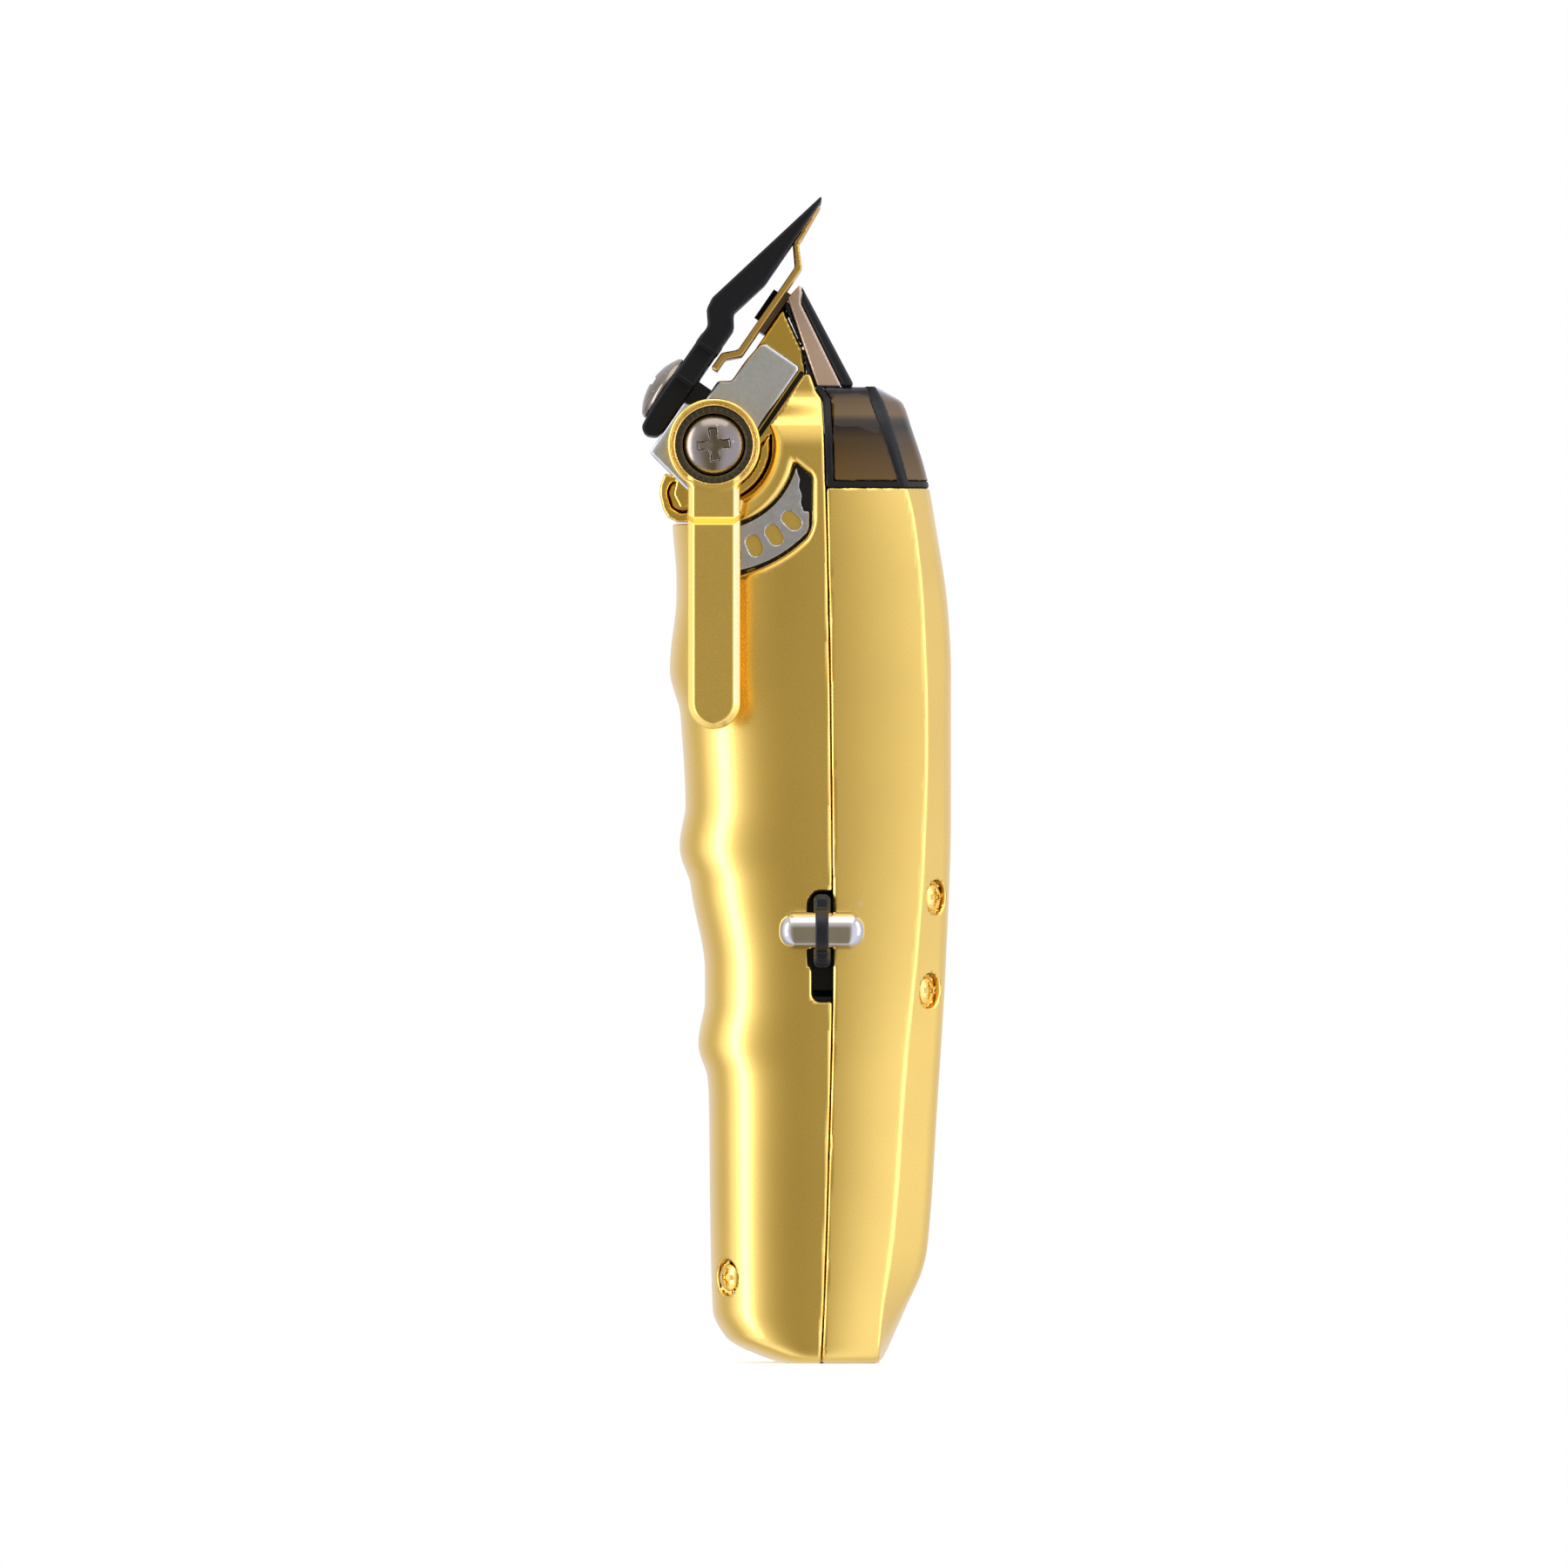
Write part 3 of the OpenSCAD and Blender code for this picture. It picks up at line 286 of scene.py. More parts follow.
def material(name, color, metallic=0.0, rough=0.4, vary=0.06, grain=900.0, bump=0.04,
             stretch=(1, 1, 1), tint=0.05, patch=60.0, edge=0.0, edge_rough=0.0, bands=None,
             **sockets):
    """Surface with uneven polish, fine relief, slow colour drift and paler edges, partly wear and
    partly a painted highlight.

    bands gives the colour by height instead, as (height in mm, colour) rows.
    """
    mat = bpy.data.materials.new(name)
    mat.use_nodes = True
    tree = mat.node_tree
    nodes, link = tree.nodes, tree.links.new
    shader = nodes["Principled BSDF"]
    preset(shader, Metallic=metallic, **sockets)
    where = nodes.new("ShaderNodeTexCoord")
    scale = nodes.new("ShaderNodeMapping")
    preset(scale, Scale=stretch)
    link(where.outputs["Object"], scale.inputs["Vector"])

    def noise(size, detail):
        n = nodes.new("ShaderNodeTexNoise")
        preset(n, Scale=size, Detail=detail)
        link(scale.outputs["Vector"], n.inputs["Vector"])
        return n.outputs["Fac"]

    def ranged(value, lo, hi, out_lo, out_hi):
        n = nodes.new("ShaderNodeMapRange")
        preset(n, From_Min=lo, From_Max=hi, To_Min=out_lo, To_Max=out_hi)
        link(value, n.inputs["Value"])
        return n.outputs["Result"]

    slow, fine = noise(patch, 3), noise(grain, 4)
    dark = tuple(c * (1 - tint) for c in color)
    light = tuple(min(1.0, c * (1 + tint)) for c in color)
    ramp = nodes.new("ShaderNodeValToRGB")
    fill_ramp(ramp, [(NOISE_LOW, dark), (NOISE_HIGH, light)])
    link(slow, ramp.inputs["Fac"])
    out_color = ramp.outputs["Color"]
    if bands:
        split = nodes.new("ShaderNodeSeparateXYZ")
        link(where.outputs["Object"], split.inputs["Vector"])
        low, high = bands[0][0] * MM, bands[-1][0] * MM
        height = ranged(split.outputs["Z"], low, high, 0.0, 1.0)
        layers = nodes.new("ShaderNodeValToRGB")
        fill_ramp(layers, [((z * MM - low) / (high - low), tone) for z, tone in bands])
        link(height, layers.inputs["Fac"])
        out_color = layers.outputs["Color"]
    polish = ranged(fine, NOISE_LOW, NOISE_HIGH, max(rough - vary, 0.02), rough + vary)
    if edge:
        # Paler colour on sharp edges: a painted highlight along them, and partly wear.
        geometry = nodes.new("ShaderNodeNewGeometry")
        edge_wear_and_highlight = ranged(geometry.outputs["Pointiness"], EDGE_WEAR_AND_HIGHLIGHT_FROM, EDGE_WEAR_AND_HIGHLIGHT_FULL, 0.0, 1.0)
        mix = nodes.new("ShaderNodeMix")
        mix.data_type = "RGBA"
        preset(mix, B=(*[c + (1 - c) * edge for c in color], 1))
        link(edge_wear_and_highlight, mix.inputs["Factor"])
        link(out_color, mix.inputs["A"])
        out_color = mix.outputs["Result"]
        smooth = nodes.new("ShaderNodeMath")
        smooth.operation = "MULTIPLY_ADD"
        smooth.inputs[1].default_value = edge_rough
        link(edge_wear_and_highlight, smooth.inputs[0])
        link(polish, smooth.inputs[2])
        smooth.use_clamp = True
        polish = smooth.outputs["Value"]
    link(out_color, shader.inputs["Base Color"])
    link(polish, shader.inputs["Roughness"])
    if bump:
        relief = nodes.new("ShaderNodeBump")
        preset(relief, Strength=bump, Distance=RELIEF_DEPTH)
        link(fine, relief.inputs["Height"])
        link(relief.outputs["Normal"], shader.inputs["Normal"])
    return mat


GOLD = (0.83, 0.57, 0.145)
# Colour of the smoked window by height, with the light and shade of the parts behind it painted in:
# lighter over the drive, dark across the motor's top.
WINDOW_PAINTED_LIGHT_AND_SHADE = [(133, (0.118, 0.066, 0.016)), (136, (0.092, 0.050, 0.012)),
                (139.6, (0.050, 0.027, 0.006)), (141.2, (0.014, 0.007, 0.002)),
                (142.4, (0.018, 0.009, 0.002)), (143.3, (0.105, 0.056, 0.012)),
                (145.6, (0.085, 0.046, 0.011)), (146.6, (0.020, 0.016, 0.014)),
                (147.4, (0.03, 0.03, 0.032))]
METAL, PLAIN = 1, 0
# Each edge amount pales the colour on sharp edges: a painted highlight there, and partly wear.
M = {
    "satin": material("satin_gold", GOLD, METAL, 0.27, 0.03, 9000, 0.012, tint=0.03,
                      edge=0.2, edge_rough=-0.12),
    "polished": material("polished_gold", (0.85, 0.58, 0.135), METAL, 0.13, 0.03, 3000, 0.006,
                         tint=0.03, edge=0.15),
    "cutter": material("cutter_gold", (0.62, 0.38, 0.10), METAL, 0.3, 0.06, 6000, 0.02, (1, 1, 6),
                       edge=0.35),
    "blade": material("blade_black", (0.005, 0.005, 0.0055), PLAIN, 0.42, 0.06, 1900, 0.03,
                      Specular_IOR_Level=0.16),
    "steel": material("satin_steel", (0.56, 0.57, 0.58), METAL, 0.33, 0.04, 2400, 0.02, tint=0.02,
                      patch=120, edge=0.45, edge_rough=-0.15),
    "bright": material("bright_steel", (0.52, 0.49, 0.47), METAL, 0.1, 0.03, 700, 0.02),
    "screw": material("screw_steel", (0.235, 0.2, 0.168), METAL, 0.17, 0.04, 800, 0.02, edge=0.2),
    "dark_steel": material("dark_steel", (0.075, 0.065, 0.05), METAL, 0.36, 0.06, 1500, 0.04),
    "plate": material("plate_steel", (0.46, 0.45, 0.46), METAL, 0.36, 0.06, 2200, 0.05, edge=0.55),
    "black": material("black_plastic", (0.008, 0.008, 0.009), PLAIN, 0.36, 0.08, 2400, 0.05,
                      Specular_IOR_Level=0.25),
    "rubber": material("gasket_rubber", (0.006, 0.006, 0.006), PLAIN, 0.45, 0.08, 1800, 0.06,
                       Specular_IOR_Level=0.2),
    "smoke": material("smoke_plastic", (0.13, 0.08, 0.045), PLAIN, 0.24, 0.05, 900, 0.02),
    "bronze": material("hood_bronze", (0.50, 0.36, 0.26), 0.55, 0.22, 0.05, 600, 0.02, tint=0.1,
                       edge=0.3),
    # The window's colour by height is painted light and shade of the parts behind it.
    "amber": material("amber_window", (0.1, 0.055, 0.015), PLAIN, 0.07, 0.03, 300, 0.0,
                      bands=WINDOW_PAINTED_LIGHT_AND_SHADE, Transmission_Weight=0.12, IOR=1.45,
                      Specular_IOR_Level=0.22),
    "wrap": material("cell_wrap", (0.05, 0.16, 0.5), PLAIN, 0.35, 0.05, 900, 0.03),
    "board": material("board_green", (0.02, 0.16, 0.06), PLAIN, 0.4, 0.08, 1400, 0.04),
    "copper": material("copper_windings", (0.72, 0.33, 0.15), METAL, 0.3, 0.08, 600, 0.3,
                       (1, 1, 8)),
    "magnet": material("magnet_grey", (0.12, 0.12, 0.12), 0.6, 0.5, 0.08, 900, 0.1),
    "lens": material("clear_lens", (0.9, 0.9, 0.88), PLAIN, 0.12, 0.04, 500, 0.0,
                     Transmission_Weight=0.8),
    "white": material("white_plastic", (0.75, 0.74, 0.70), PLAIN, 0.4, 0.06, 1200, 0.04),
}

# ---------------- measures, in millimetres
def lo_hi(node):
    """Corners of a CAD node's box."""
    lo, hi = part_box(node)
    return np.array(lo) / MM, np.array(hi) / MM


GRIP_H = lo_hi("rear_shell")[1][2]
SHOULDER = lo_hi("front_shell")[1][0]
NECK_TOP = lo_hi("front_shell")[1][2]
TIP_Y, TIP_Z = -3.4, lo_hi("fixed_blade")[1][2]
JOINT = {j["name"]: j for j in frame["joints"]}
PIVOT_Y, PIVOT_Z = (v / MM for v in JOINT["taper_lever"]["pos_m"][1:])
SLANT = math.radians(34.5)  # lean of the blades from upright
NECK = SHOULDER - 4.6       # half widths of the shell at its top and its base
BASE = 18.0
WALL = 1.8


def curve(points):
    """Smooth curve through [z, value] points that never overshoots them."""
    z0, v0 = (np.array(c, float) for c in zip(*points))
    d = np.diff(v0) / np.diff(z0)
    m = np.concatenate([d[:1], np.zeros(len(d) - 1), d[-1:]])
    turn = d[:-1] * d[1:]
    m[1:-1] = np.where(turn > 0, 2 * turn / np.where(turn > 0, d[:-1] + d[1:], 1), 0)

    def at(z):
        i = np.clip(np.searchsorted(z0, z, side="right") - 1, 0, len(z0) - 2)
        h = z0[i + 1] - z0[i]
        t = np.clip((z - z0[i]) / h, -0.3, 1.3)
        return ((2 * t ** 3 - 3 * t ** 2 + 1) * v0[i] + (t ** 3 - 2 * t ** 2 + t) * h * m[i]
                + (3 * t ** 2 - 2 * t ** 3) * v0[i + 1] + (t ** 3 - t ** 2) * h * m[i + 1])
    return at


# Side outline by height: the front without its finger bumps, the back, the edge between the
# flat side and the facet, and the seam between the shells; then the half width.
front_line = curve([[0, -11.6], [1.4, -14], [4, -17.8], [8, -19.7], [22, -20.1], [40, -20.3],
                    [48.4, -20.9], [59.2, -20.9], [71, -22.9], [77.5, -23.7], [87, -23.9],
                    [96.7, -24.5], [104.8, -25.2], [118.5, -25.2], [126.8, -25.8], [140, -26],
                    [152, -26]])
back_line = curve([[0, 5.8], [8, 9.3], [14.5, 12.1], [18, 12.8], [40, 14.3], [60, 15.5], [83, 16.3],
                   [104.5, 16.3], [113, 15.9], [127, 13.9], [134, 12.6], [141.4, 10.3], [145, 9],
                   [147.4, 5.6], [152, 3]])
edge_line = curve([[0, 5.3], [8, 6], [21.5, 7.6], [47, 9.5], [61, 11], [77, 12.2], [95, 12.7],
                   [113.7, 12.1], [127, 10.8], [133, 9.3], [147.4, 4.6], [152, 2.4]])
seam_line = curve([[0, -3.3], [11, -2.8], [30, -2.2], [60, -1.6], [90, -1.8], [115, -2.2],
                   [132, -2.6], [145.3, -3.1], [147, -4.1], [149.5, -5], [152, -5.8]])
half_width = curve([[0, BASE], [30, BASE + 0.7], [70, SHOULDER - 1.8], [105, SHOULDER - 0.6],
                    [125, SHOULDER], [138, SHOULDER], [141.5, SHOULDER - 0.9], [146, NECK + 0.3],
                    [147.4, NECK], [152, NECK]])
BUMPS = [(104.8, 11, 6.5), (77.9, 6.5, 5.5), (48.2, 6.5, 5)]  # middle, reach above and below
FOOT = 3.2         # rounding round the base
HAIR = 0.03        # half of the gap along the seam
SEAM_EDGE = 0.45   # rounding along it
POWER = 3.2        # how square the front shell's section is: 2 would be an ellipse


def front_edge(z):
    """The front outline with its finger bumps."""
    out = front_line(z)
    for mid, above, below in BUMPS:
        t = np.where(z > mid, (z - mid) / above, (mid - z) / below)
        out = out - np.where(t < 1, (1 - np.minimum(t, 1) ** 2) ** 2, 0)
    return out


def front_skin(x, y, z):
    """Outside of the front shell: a squared ellipse at each height."""
    hw, ys = half_width(z), seam_line(z)
    d = ys - front_edge(z)
    u, v = np.maximum(np.abs(x) / hw, 1e-3), np.maximum(ys - y, 0) / d
    g = (u ** POWER + v ** POWER) ** (1 / POWER)
    slope = g ** (1 - POWER) * np.hypot(u ** (POWER - 1) / hw, v ** (POWER - 1) / d)
    return (g - 1) / slope


# The flat side of the rear shell swells a little between the seam and the facet edge.
DRAFT, FACET_IN = 2.0, 6.5


def rear_planes(x, y, z):
    """Distances to the rear shell's flat side, its slanting facet and its back."""
    hw, ys, ye, yb = half_width(z), seam_line(z), edge_line(z), back_line(z)
    t = np.clip((y - ys) / (ye - ys), 0, 1.5)
    side = np.abs(x) - hw + DRAFT * (0.35 * t + 0.65 * t * t)
    run = np.hypot(yb - ye, FACET_IN)
    facet = ((np.abs(x) - (hw - DRAFT)) * (yb - ye) + (y - ye) * FACET_IN) / run
    return side, facet, y - yb


def rear_skin(x, y, z, r=0.35, rb=1.4):
    side, facet, back = rear_planes(x, y, z)
    return meet(meet(side, facet, r), back, rb)


FRONT_SCREW_Z, REAR_SCREW_Z = 13.0, (70.4, 56.3)


# Screws at the corners of the shells: middle, and direction outward.
def front_screw():
    z = FRONT_SCREW_Z
    hw, ys = float(half_width(z)), float(seam_line(z))
    d = ys - float(front_edge(z))
    a = math.radians(54)  # how far round the section the screw sits
    x = hw * math.cos(a) ** (2 / POWER)
    y = ys - d * math.sin(a) ** (2 / POWER)
    return x, y, z, math.radians(-48)


def rear_screw(z):
    hw, ye, yb = float(half_width(z)), float(edge_line(z)), float(back_line(z))
    return hw - DRAFT - FACET_IN / 2 - 0.4, (ye + yb) / 2 + 0.3, z, math.radians(57)


def screw_axes(x, y, z, screw):
    """Coordinates across (two) and along a corner screw, the same on both sides."""
    sx, sy, sz, turn = screw
    dx, dy = np.abs(x) - sx, y - sy
    along = dx * math.cos(turn) + dy * math.sin(turn)
    across = -dx * math.sin(turn) + dy * math.cos(turn)
    return across, z - sz, along


REAR_SCREWS = [rear_screw(z) for z in REAR_SCREW_Z]
LIGHT_Z, LIGHT_R = 70.7, 1.3
GUARD_R, GUARD_GAP = 8.6, 0.3  # rim of the head casting round the lever, and the shell's gap to it


def head_opening():
    """Outline of the head, cut out of the front shell."""
    r = GUARD_R + GUARD_GAP
    arc = [(PIVOT_Y + r * math.cos(math.radians(a)), PIVOT_Z + r * math.sin(math.radians(a)))
           for a in range(20, -70, -6)]
    return [(-5.0, 151.5), (-5.25, 150.2)] + arc + [(-16.4, 126.8), (-32, 126.8), (-32, 151.5)]


HEAD_OPENING = head_opening()
# The detent pocket under the lever: radii about the pivot, back edge, and floor across the shell.
POCKET_IN, POCKET_OUT, POCKET_BACK, POCKET_FLOOR = 12.4, 19.7, -4.75, SHOULDER - 2.1


def pivot_polar(y, z):
    """Radius and swing angle about the lever pivot, 0 straight down and growing to the back."""
    return np.hypot(y - PIVOT_Y, z - PIVOT_Z), np.arctan2(y - PIVOT_Y, -(z - PIVOT_Z))


def pocket(y, z, inset=0.0, corner=0.9, back=POCKET_BACK):
    """Outline of the detent pocket: a ring sector with a slanting front tip."""
    r, a = pivot_polar(y, z)
    ring = meet(POCKET_IN + inset - r, r - POCKET_OUT + inset, 0)
    low = (math.radians(-12) - a) * r + inset
    tip = ((y + 6.3) * 0.62 + (z - 135.2) * 0.78) + inset
    ring = meet(meet(ring, y - back + inset, corner), np.maximum(low, tip), 0.3)
    return ring


SWITCH_Y = -3.2
SWITCH_LO, SWITCH_HI = lo_hi("switch_slider")
BARREL_LO, BARREL_HI = lo_hi("switch_barrel")
SLOT_LO, SLOT_HI = SWITCH_LO[2] - 5.1, SWITCH_HI[2] + 0.4


def slot_outline(y, z):
    """Switch slot in the front shell's edge: wider round the switch, round at the top."""
    box = meet(slab(y, SWITCH_Y - 1.55, 3), slab(z, SLOT_LO, SLOT_HI), 1.2)
    wide = meet(slab(y, SWITCH_Y - 2.0, 3), slab(z, SLOT_LO + 5.2, SLOT_HI - 1.0), 1.2)
    return join(box, wide, 0.8)


SCREW_HOLE_R, SCREW_DEPTH = 1.3, 8
FRONT_SINK_R, FRONT_SINK = 2.75, 1.5  # the sinks round the screw heads
REAR_SINK_R, REAR_SINK = 2.6, 1.2


def screw_hole(out, x, y, z, screw, sink_r, sink, edge):
    """A corner screw's hole with a sink for its head."""
    a, b, along = screw_axes(x, y, z, screw)
    hole = np.hypot(a, b)
    out = cut(out, np.maximum(hole - sink_r, -sink - along), edge)
    return cut(out, np.maximum(hole - SCREW_HOLE_R, -SCREW_DEPTH - along), 0.1)


BASE_FROM, BASE_TO, BASE_HALF_W, BASE_DEPTH = -8.4, 5, 12, 4


def base_opening(x, y, z):
    """Opening in the base for its plate and the charge inlet."""
    across = np.maximum(np.abs(x) - BASE_HALF_W, z - BASE_DEPTH)
    return meet(slab(y, BASE_FROM, BASE_TO), across, 0.4)


def front_shell(x, y, z):
    skin = front_skin(x, y, z)
    out = meet(meet(skin, -z, FOOT), z - NECK_TOP, 0.3)
    # The wall is thicker behind the detent pocket.
    wall = WALL + 1.2 * np.clip(np.minimum((z - 108) / 7, (139.8 - z) / 3.6), 0, 1)
    hollow = meet(skin + wall, WALL - z, 0.5)
    out = np.maximum(out, -hollow)
    opening = polygon(y, z, HEAD_OPENING)
    soft = 0.35 + 1.25 * step_up(-np.abs(z - 133), -10, -6) * step_up(y, -18, -14)
    out = cut(out, opening, soft)
    out = cut(out, meet(pocket(y, z), POCKET_FLOOR - x, 0), 1.15)
    out = meet(out, y - seam_line(z) + HAIR, SEAM_EDGE)
    out = cut(out, meet(slot_outline(y, z), 10 - x), 0.4)
    out = screw_hole(out, x, y, z, front_screw(), FRONT_SINK_R, FRONT_SINK, 0.35)
    return cut(out, base_opening(x, y, z), 0.2)


def rear_shell(x, y, z):
    side, facet, back = rear_planes(x, y, z)
    foot = meet(meet(meet(side, -z, FOOT), facet, 0.35), back, 1.2)
    out = meet(meet(foot, -z, 0.3), z - GRIP_H, 0.3)
    hollow = meet(rear_skin(x, y, z, 0.3, 0.5) + WALL, WALL - z, 0.5)
    out = np.maximum(out, -hollow)
    out = meet(out, seam_line(z) + HAIR - y, SEAM_EDGE)
    for screw in REAR_SCREWS:
        out = screw_hole(out, x, y, z, screw, REAR_SINK_R, REAR_SINK, 0.3)
    light = np.hypot(x, z - LIGHT_Z) + np.where(y > 8, 0, 9) - LIGHT_R
    out = cut(out, light, 0.15)
    return cut(out, base_opening(x, y, z), 0.2)


solid("front_shell_body", front_shell, (-23, -27.5, -0.6), (23, -0.4, 150.4), 0.85, "housing",
      ["front_shell"], M["satin"],
      {"x": [(-23, -13, 0.6), (13, 23, 0.42)], "y": [(-28, 0, 0.46)],
       "z": [(-1, 4, 0.5), (8, 18, 0.5), (50, 74, 0.5), (120, 151, 0.42)]})
solid("rear_shell_body", rear_shell, (-23, -5.6, -0.6), (23, 17.6, 133), 0.9, "housing",
      ["rear_shell"], M["satin"],
      {"x": [(-23, -12, 0.5), (12, 23, 0.5)], "y": [(-6, 18, 0.5)],
       "z": [(-1, 4, 0.5), (50, 76, 0.5), (129, 134, 0.4)]})

# ---------------- window, gasket and hood
GASKET, BAND = 1.2, 1.0  # width of the gasket along the seam, and of its band over the rear shell
WINDOW_TOP, WINDOW_WALL = 147.4, 1.5
HOOD_FOOT = 147.5


def window_skin(x, y, z):
    """Outside of the rear shell, carried on with the window's crisper edges."""
    return rear_skin(x, y, z, 0.2, 0.9)


def pane_edge(x, y, z):
    """Distance from the line where the side pane meets the slanting pane."""
    side, facet = rear_planes(x, y, z)[:2]
    return np.abs(side - facet)


def drive_window(x, y, z):
    skin = window_skin(x, y, z)
    out = meet(skin, z - WINDOW_TOP, 0.5)
    out = np.maximum(out, -meet(skin + WINDOW_WALL, z - (WINDOW_TOP - WINDOW_WALL), 0.4))
    out = np.maximum(out, np.maximum(seam_line(z) + GASKET + 0.05 - y, GRIP_H + BAND + 0.05 - z))
    return out


def window_gasket(x, y, z):
    skin = window_skin(x, y, z)
    ring = np.minimum(y - seam_line(z) - GASKET, z - GRIP_H - BAND)
    shell = meet(skin, -(skin + 1.45), 0.1)
    frame_part = meet(meet(shell, ring, 0.1), seam_line(z) + 0.05 - y, 0.2)
    wide = 0.75 + 0.25 * np.clip((z - 132) / 15, 0, 1)
    rib = meet(meet(skin - 0.22, -(skin + 0.6), 0.1), pane_edge(x, y, z) - wide, 0.1)
    rib = np.maximum(rib, seam_line(z) + 0.05 - y)
    out = np.minimum(frame_part, rib)
    return meet(out, slab(z, GRIP_H + 0.06, HOOD_FOOT), 0.15)


solid("window_pane", drive_window, (-21.9, -6.5, GRIP_H), (22.5, 14.5, 148.2), 0.55, "housing",
      ["drive_window"], M["amber"])
solid("window_seal", window_gasket, (-23, -6.5, GRIP_H - 0.5), (23, 14.5, 148.3), 0.3, "housing",
      ["window_gasket"], M["rubber"])
HOOD_W = lo_hi("nose_hood")[1][0]
HOOD = filleted([(-8.4, 160.8), (-6.5, 162.9), (-6.2, 161.7), (-6.4, 160.1), (-0.2, HOOD_FOOT),
                 (-3.9, HOOD_FOOT)], [0.15, 0.08, 0.05, 0.1, 0.2, 0.2])
HOOD_HOLLOW = [(-9.2, 162.4), (-1.5, 146), (-12, 146)]
HOOD_BACK = filleted([(-6.3, 162.7), (1.75, HOOD_FOOT), (-0.15, HOOD_FOOT), (-6.35, 160.1),
                      (-6.15, 161.7)], [0.05, 0.5, 0.1, 0.05, 0.05])
HOOD_LIP = [(-8.8, 159.7), (-8.4, 160.6), (-3.95, HOOD_FOOT), (-5.3, HOOD_FOOT), (-5.55, 150),
            (-6.05, 153.1)]


def nose_hood(x, y, z):
    across = np.abs(x) - HOOD_W
    out = meet(polygon(y, z, HOOD), across, 0.35)
    return cut(out, meet(polygon(y, z, HOOD_HOLLOW), across + 1.5), 0.2)


def hood_skin(x, y, z):
    """The hood's black back, and the dark uneven lip between the hood and the head's cheeks."""
    across = np.abs(x) - HOOD_W
    lip = polygon(y, z, HOOD_LIP) + 0.06 * np.sin(7 * y) * np.sin(5 * z + 3 * y)
    return np.minimum(meet(polygon(y, z, HOOD_BACK), across, 0.5), meet(lip, across + 0.5, 0.1))


solid("hood_cover", nose_hood, (-18, -9, 146.6), (18, 1, 163.4), 0.3, "housing", ["nose_hood"],
      M["bronze"])
solid("hood_skin", hood_skin, (-18, -9.2, 146.6), (18, 3, 164), 0.3, "housing", ["nose_hood_skin"],
      M["black"])

# ---------------- head casting
PIVOT_N, PIVOT_S = -7.9, -39.9  # the lever pivot in the blades' slanting frame
HEAD_TOP = lo_hi("head_frame")[1][0]
HEAD_W = NECK - 2.2
CHEEK_T, BOSS_R, PIVOT_HOLE_R, RIM_T = 3, 4.5, 1.25, 1.5
CASTING_FOOT = 124
CHIN = [(-26.9, 134.4), (-27.6, 132.6), (-27.7, 131.2), (-27.2, 129), (-26.4, 127.7),
        (-25.2, 127.1), (-22.5, 127.1), (-21.5, 129), (-21.5, 133)]
HORN = [(-26.0, 133.2), (-26.6, 131.4), (-25.9, 129.2), (-24.6, 128.4), (-22.6, 128.6),
        (-21.9, 130), (-21.9, 132.4)]


def blade_pt(n, s):
    """Side view place of a point given out from (n) and along (s) the blades."""
    return (TIP_Y + s * math.sin(SLANT) - n * math.cos(SLANT),
            TIP_Z + s * math.cos(SLANT) + n * math.sin(SLANT))


CHEEK = [(-8.9, 159), (-6.1, 153.1), (-5.6, 150), (-5.4, 146), (-5.4, CASTING_FOOT),
         (-16.6, CASTING_FOOT), (-16.6, 127.2), (-22.5, 127.2), (-22.5, 129.2), (-24.6, 129.2),
         (-25.6, 131.2), (-25, 134),
         blade_pt(-3.1, -46), blade_pt(-3.1, -33.4), blade_pt(-4.85, -33.4), blade_pt(-4.85, -17.4)]


def around_pivot(y, z):
    """Offsets and radius about the lever pivot."""
    dy, dz = y - PIVOT_Y, z - PIVOT_Z
    return dy, dz, np.hypot(dy, dz)


def head_frame(x, y, z):
    ax = np.abs(x)
    cheek = meet(polygon(y, z, filleted(CHEEK, 0.3, 2)), slab(ax, HEAD_W - CHEEK_T, HEAD_W), 0.35)
    chin = meet(polygon(y, z, filleted(CHIN, 0.35, 2)), ax - HEAD_W + 1, 0.35)
    horn = meet(polygon(y, z, filleted(HORN, 0.9, 3)), HEAD_W - 3.5 - ax, 0.5)
    chin = cut(chin, horn, 0.35)
    n = -(y - TIP_Y) * math.cos(SLANT) + (z - TIP_Z) * math.sin(SLANT)
    s = (y - TIP_Y) * math.sin(SLANT) + (z - TIP_Z) * math.cos(SLANT)
    across = ax - HEAD_W
    wall = meet(meet(slab(n, -5, -3.1), slab(s, -46, -34), 0.2), across, 0.2)
    floor_box = meet(slab(y, -16.6, 6.4), slab(z, CASTING_FOOT, CASTING_FOOT + 2.4), 0.2)
    floor = meet(floor_box, across, 0.2)
    r = around_pivot(y, z)[2]
    boss = meet(r - BOSS_R, slab(ax, 9.2, HEAD_W - 2), 0.2)
    out = join(join(join(join(cheek, chin, 0.2), wall, 0.3), floor, 0.3), boss, 0.3)
    rim = meet(meet(r - GUARD_R, n - PIVOT_N + 6, 0.3), slab(ax, HEAD_W - 1, HEAD_TOP), 0.4)
    rim = cut(rim, np.maximum(r - GUARD_R + RIM_T, HEAD_W - ax), 0.15)
    out = join(out, rim, 0.2)
    # Through the floor: a wide hole over the motor, and a small one on each side.
    out = cut(out, np.maximum(np.hypot(x, y + 4.6) - 8, z - 130), 0.2)
    out = cut(out, np.hypot(ax - 11, y - 4) - 1.1 + np.where(z < 128, 0, 9))
    return cut(out, r - PIVOT_HOLE_R - 0 * x)


solid("head_casting", head_frame, (-19.8, -28.4, 123.3), (19.8, 7, 160), 0.42, "housing",
      ["head_frame"], M["polished"], {"y": [(-29, -16, 0.26)], "z": [(126, 135, 0.26)]})

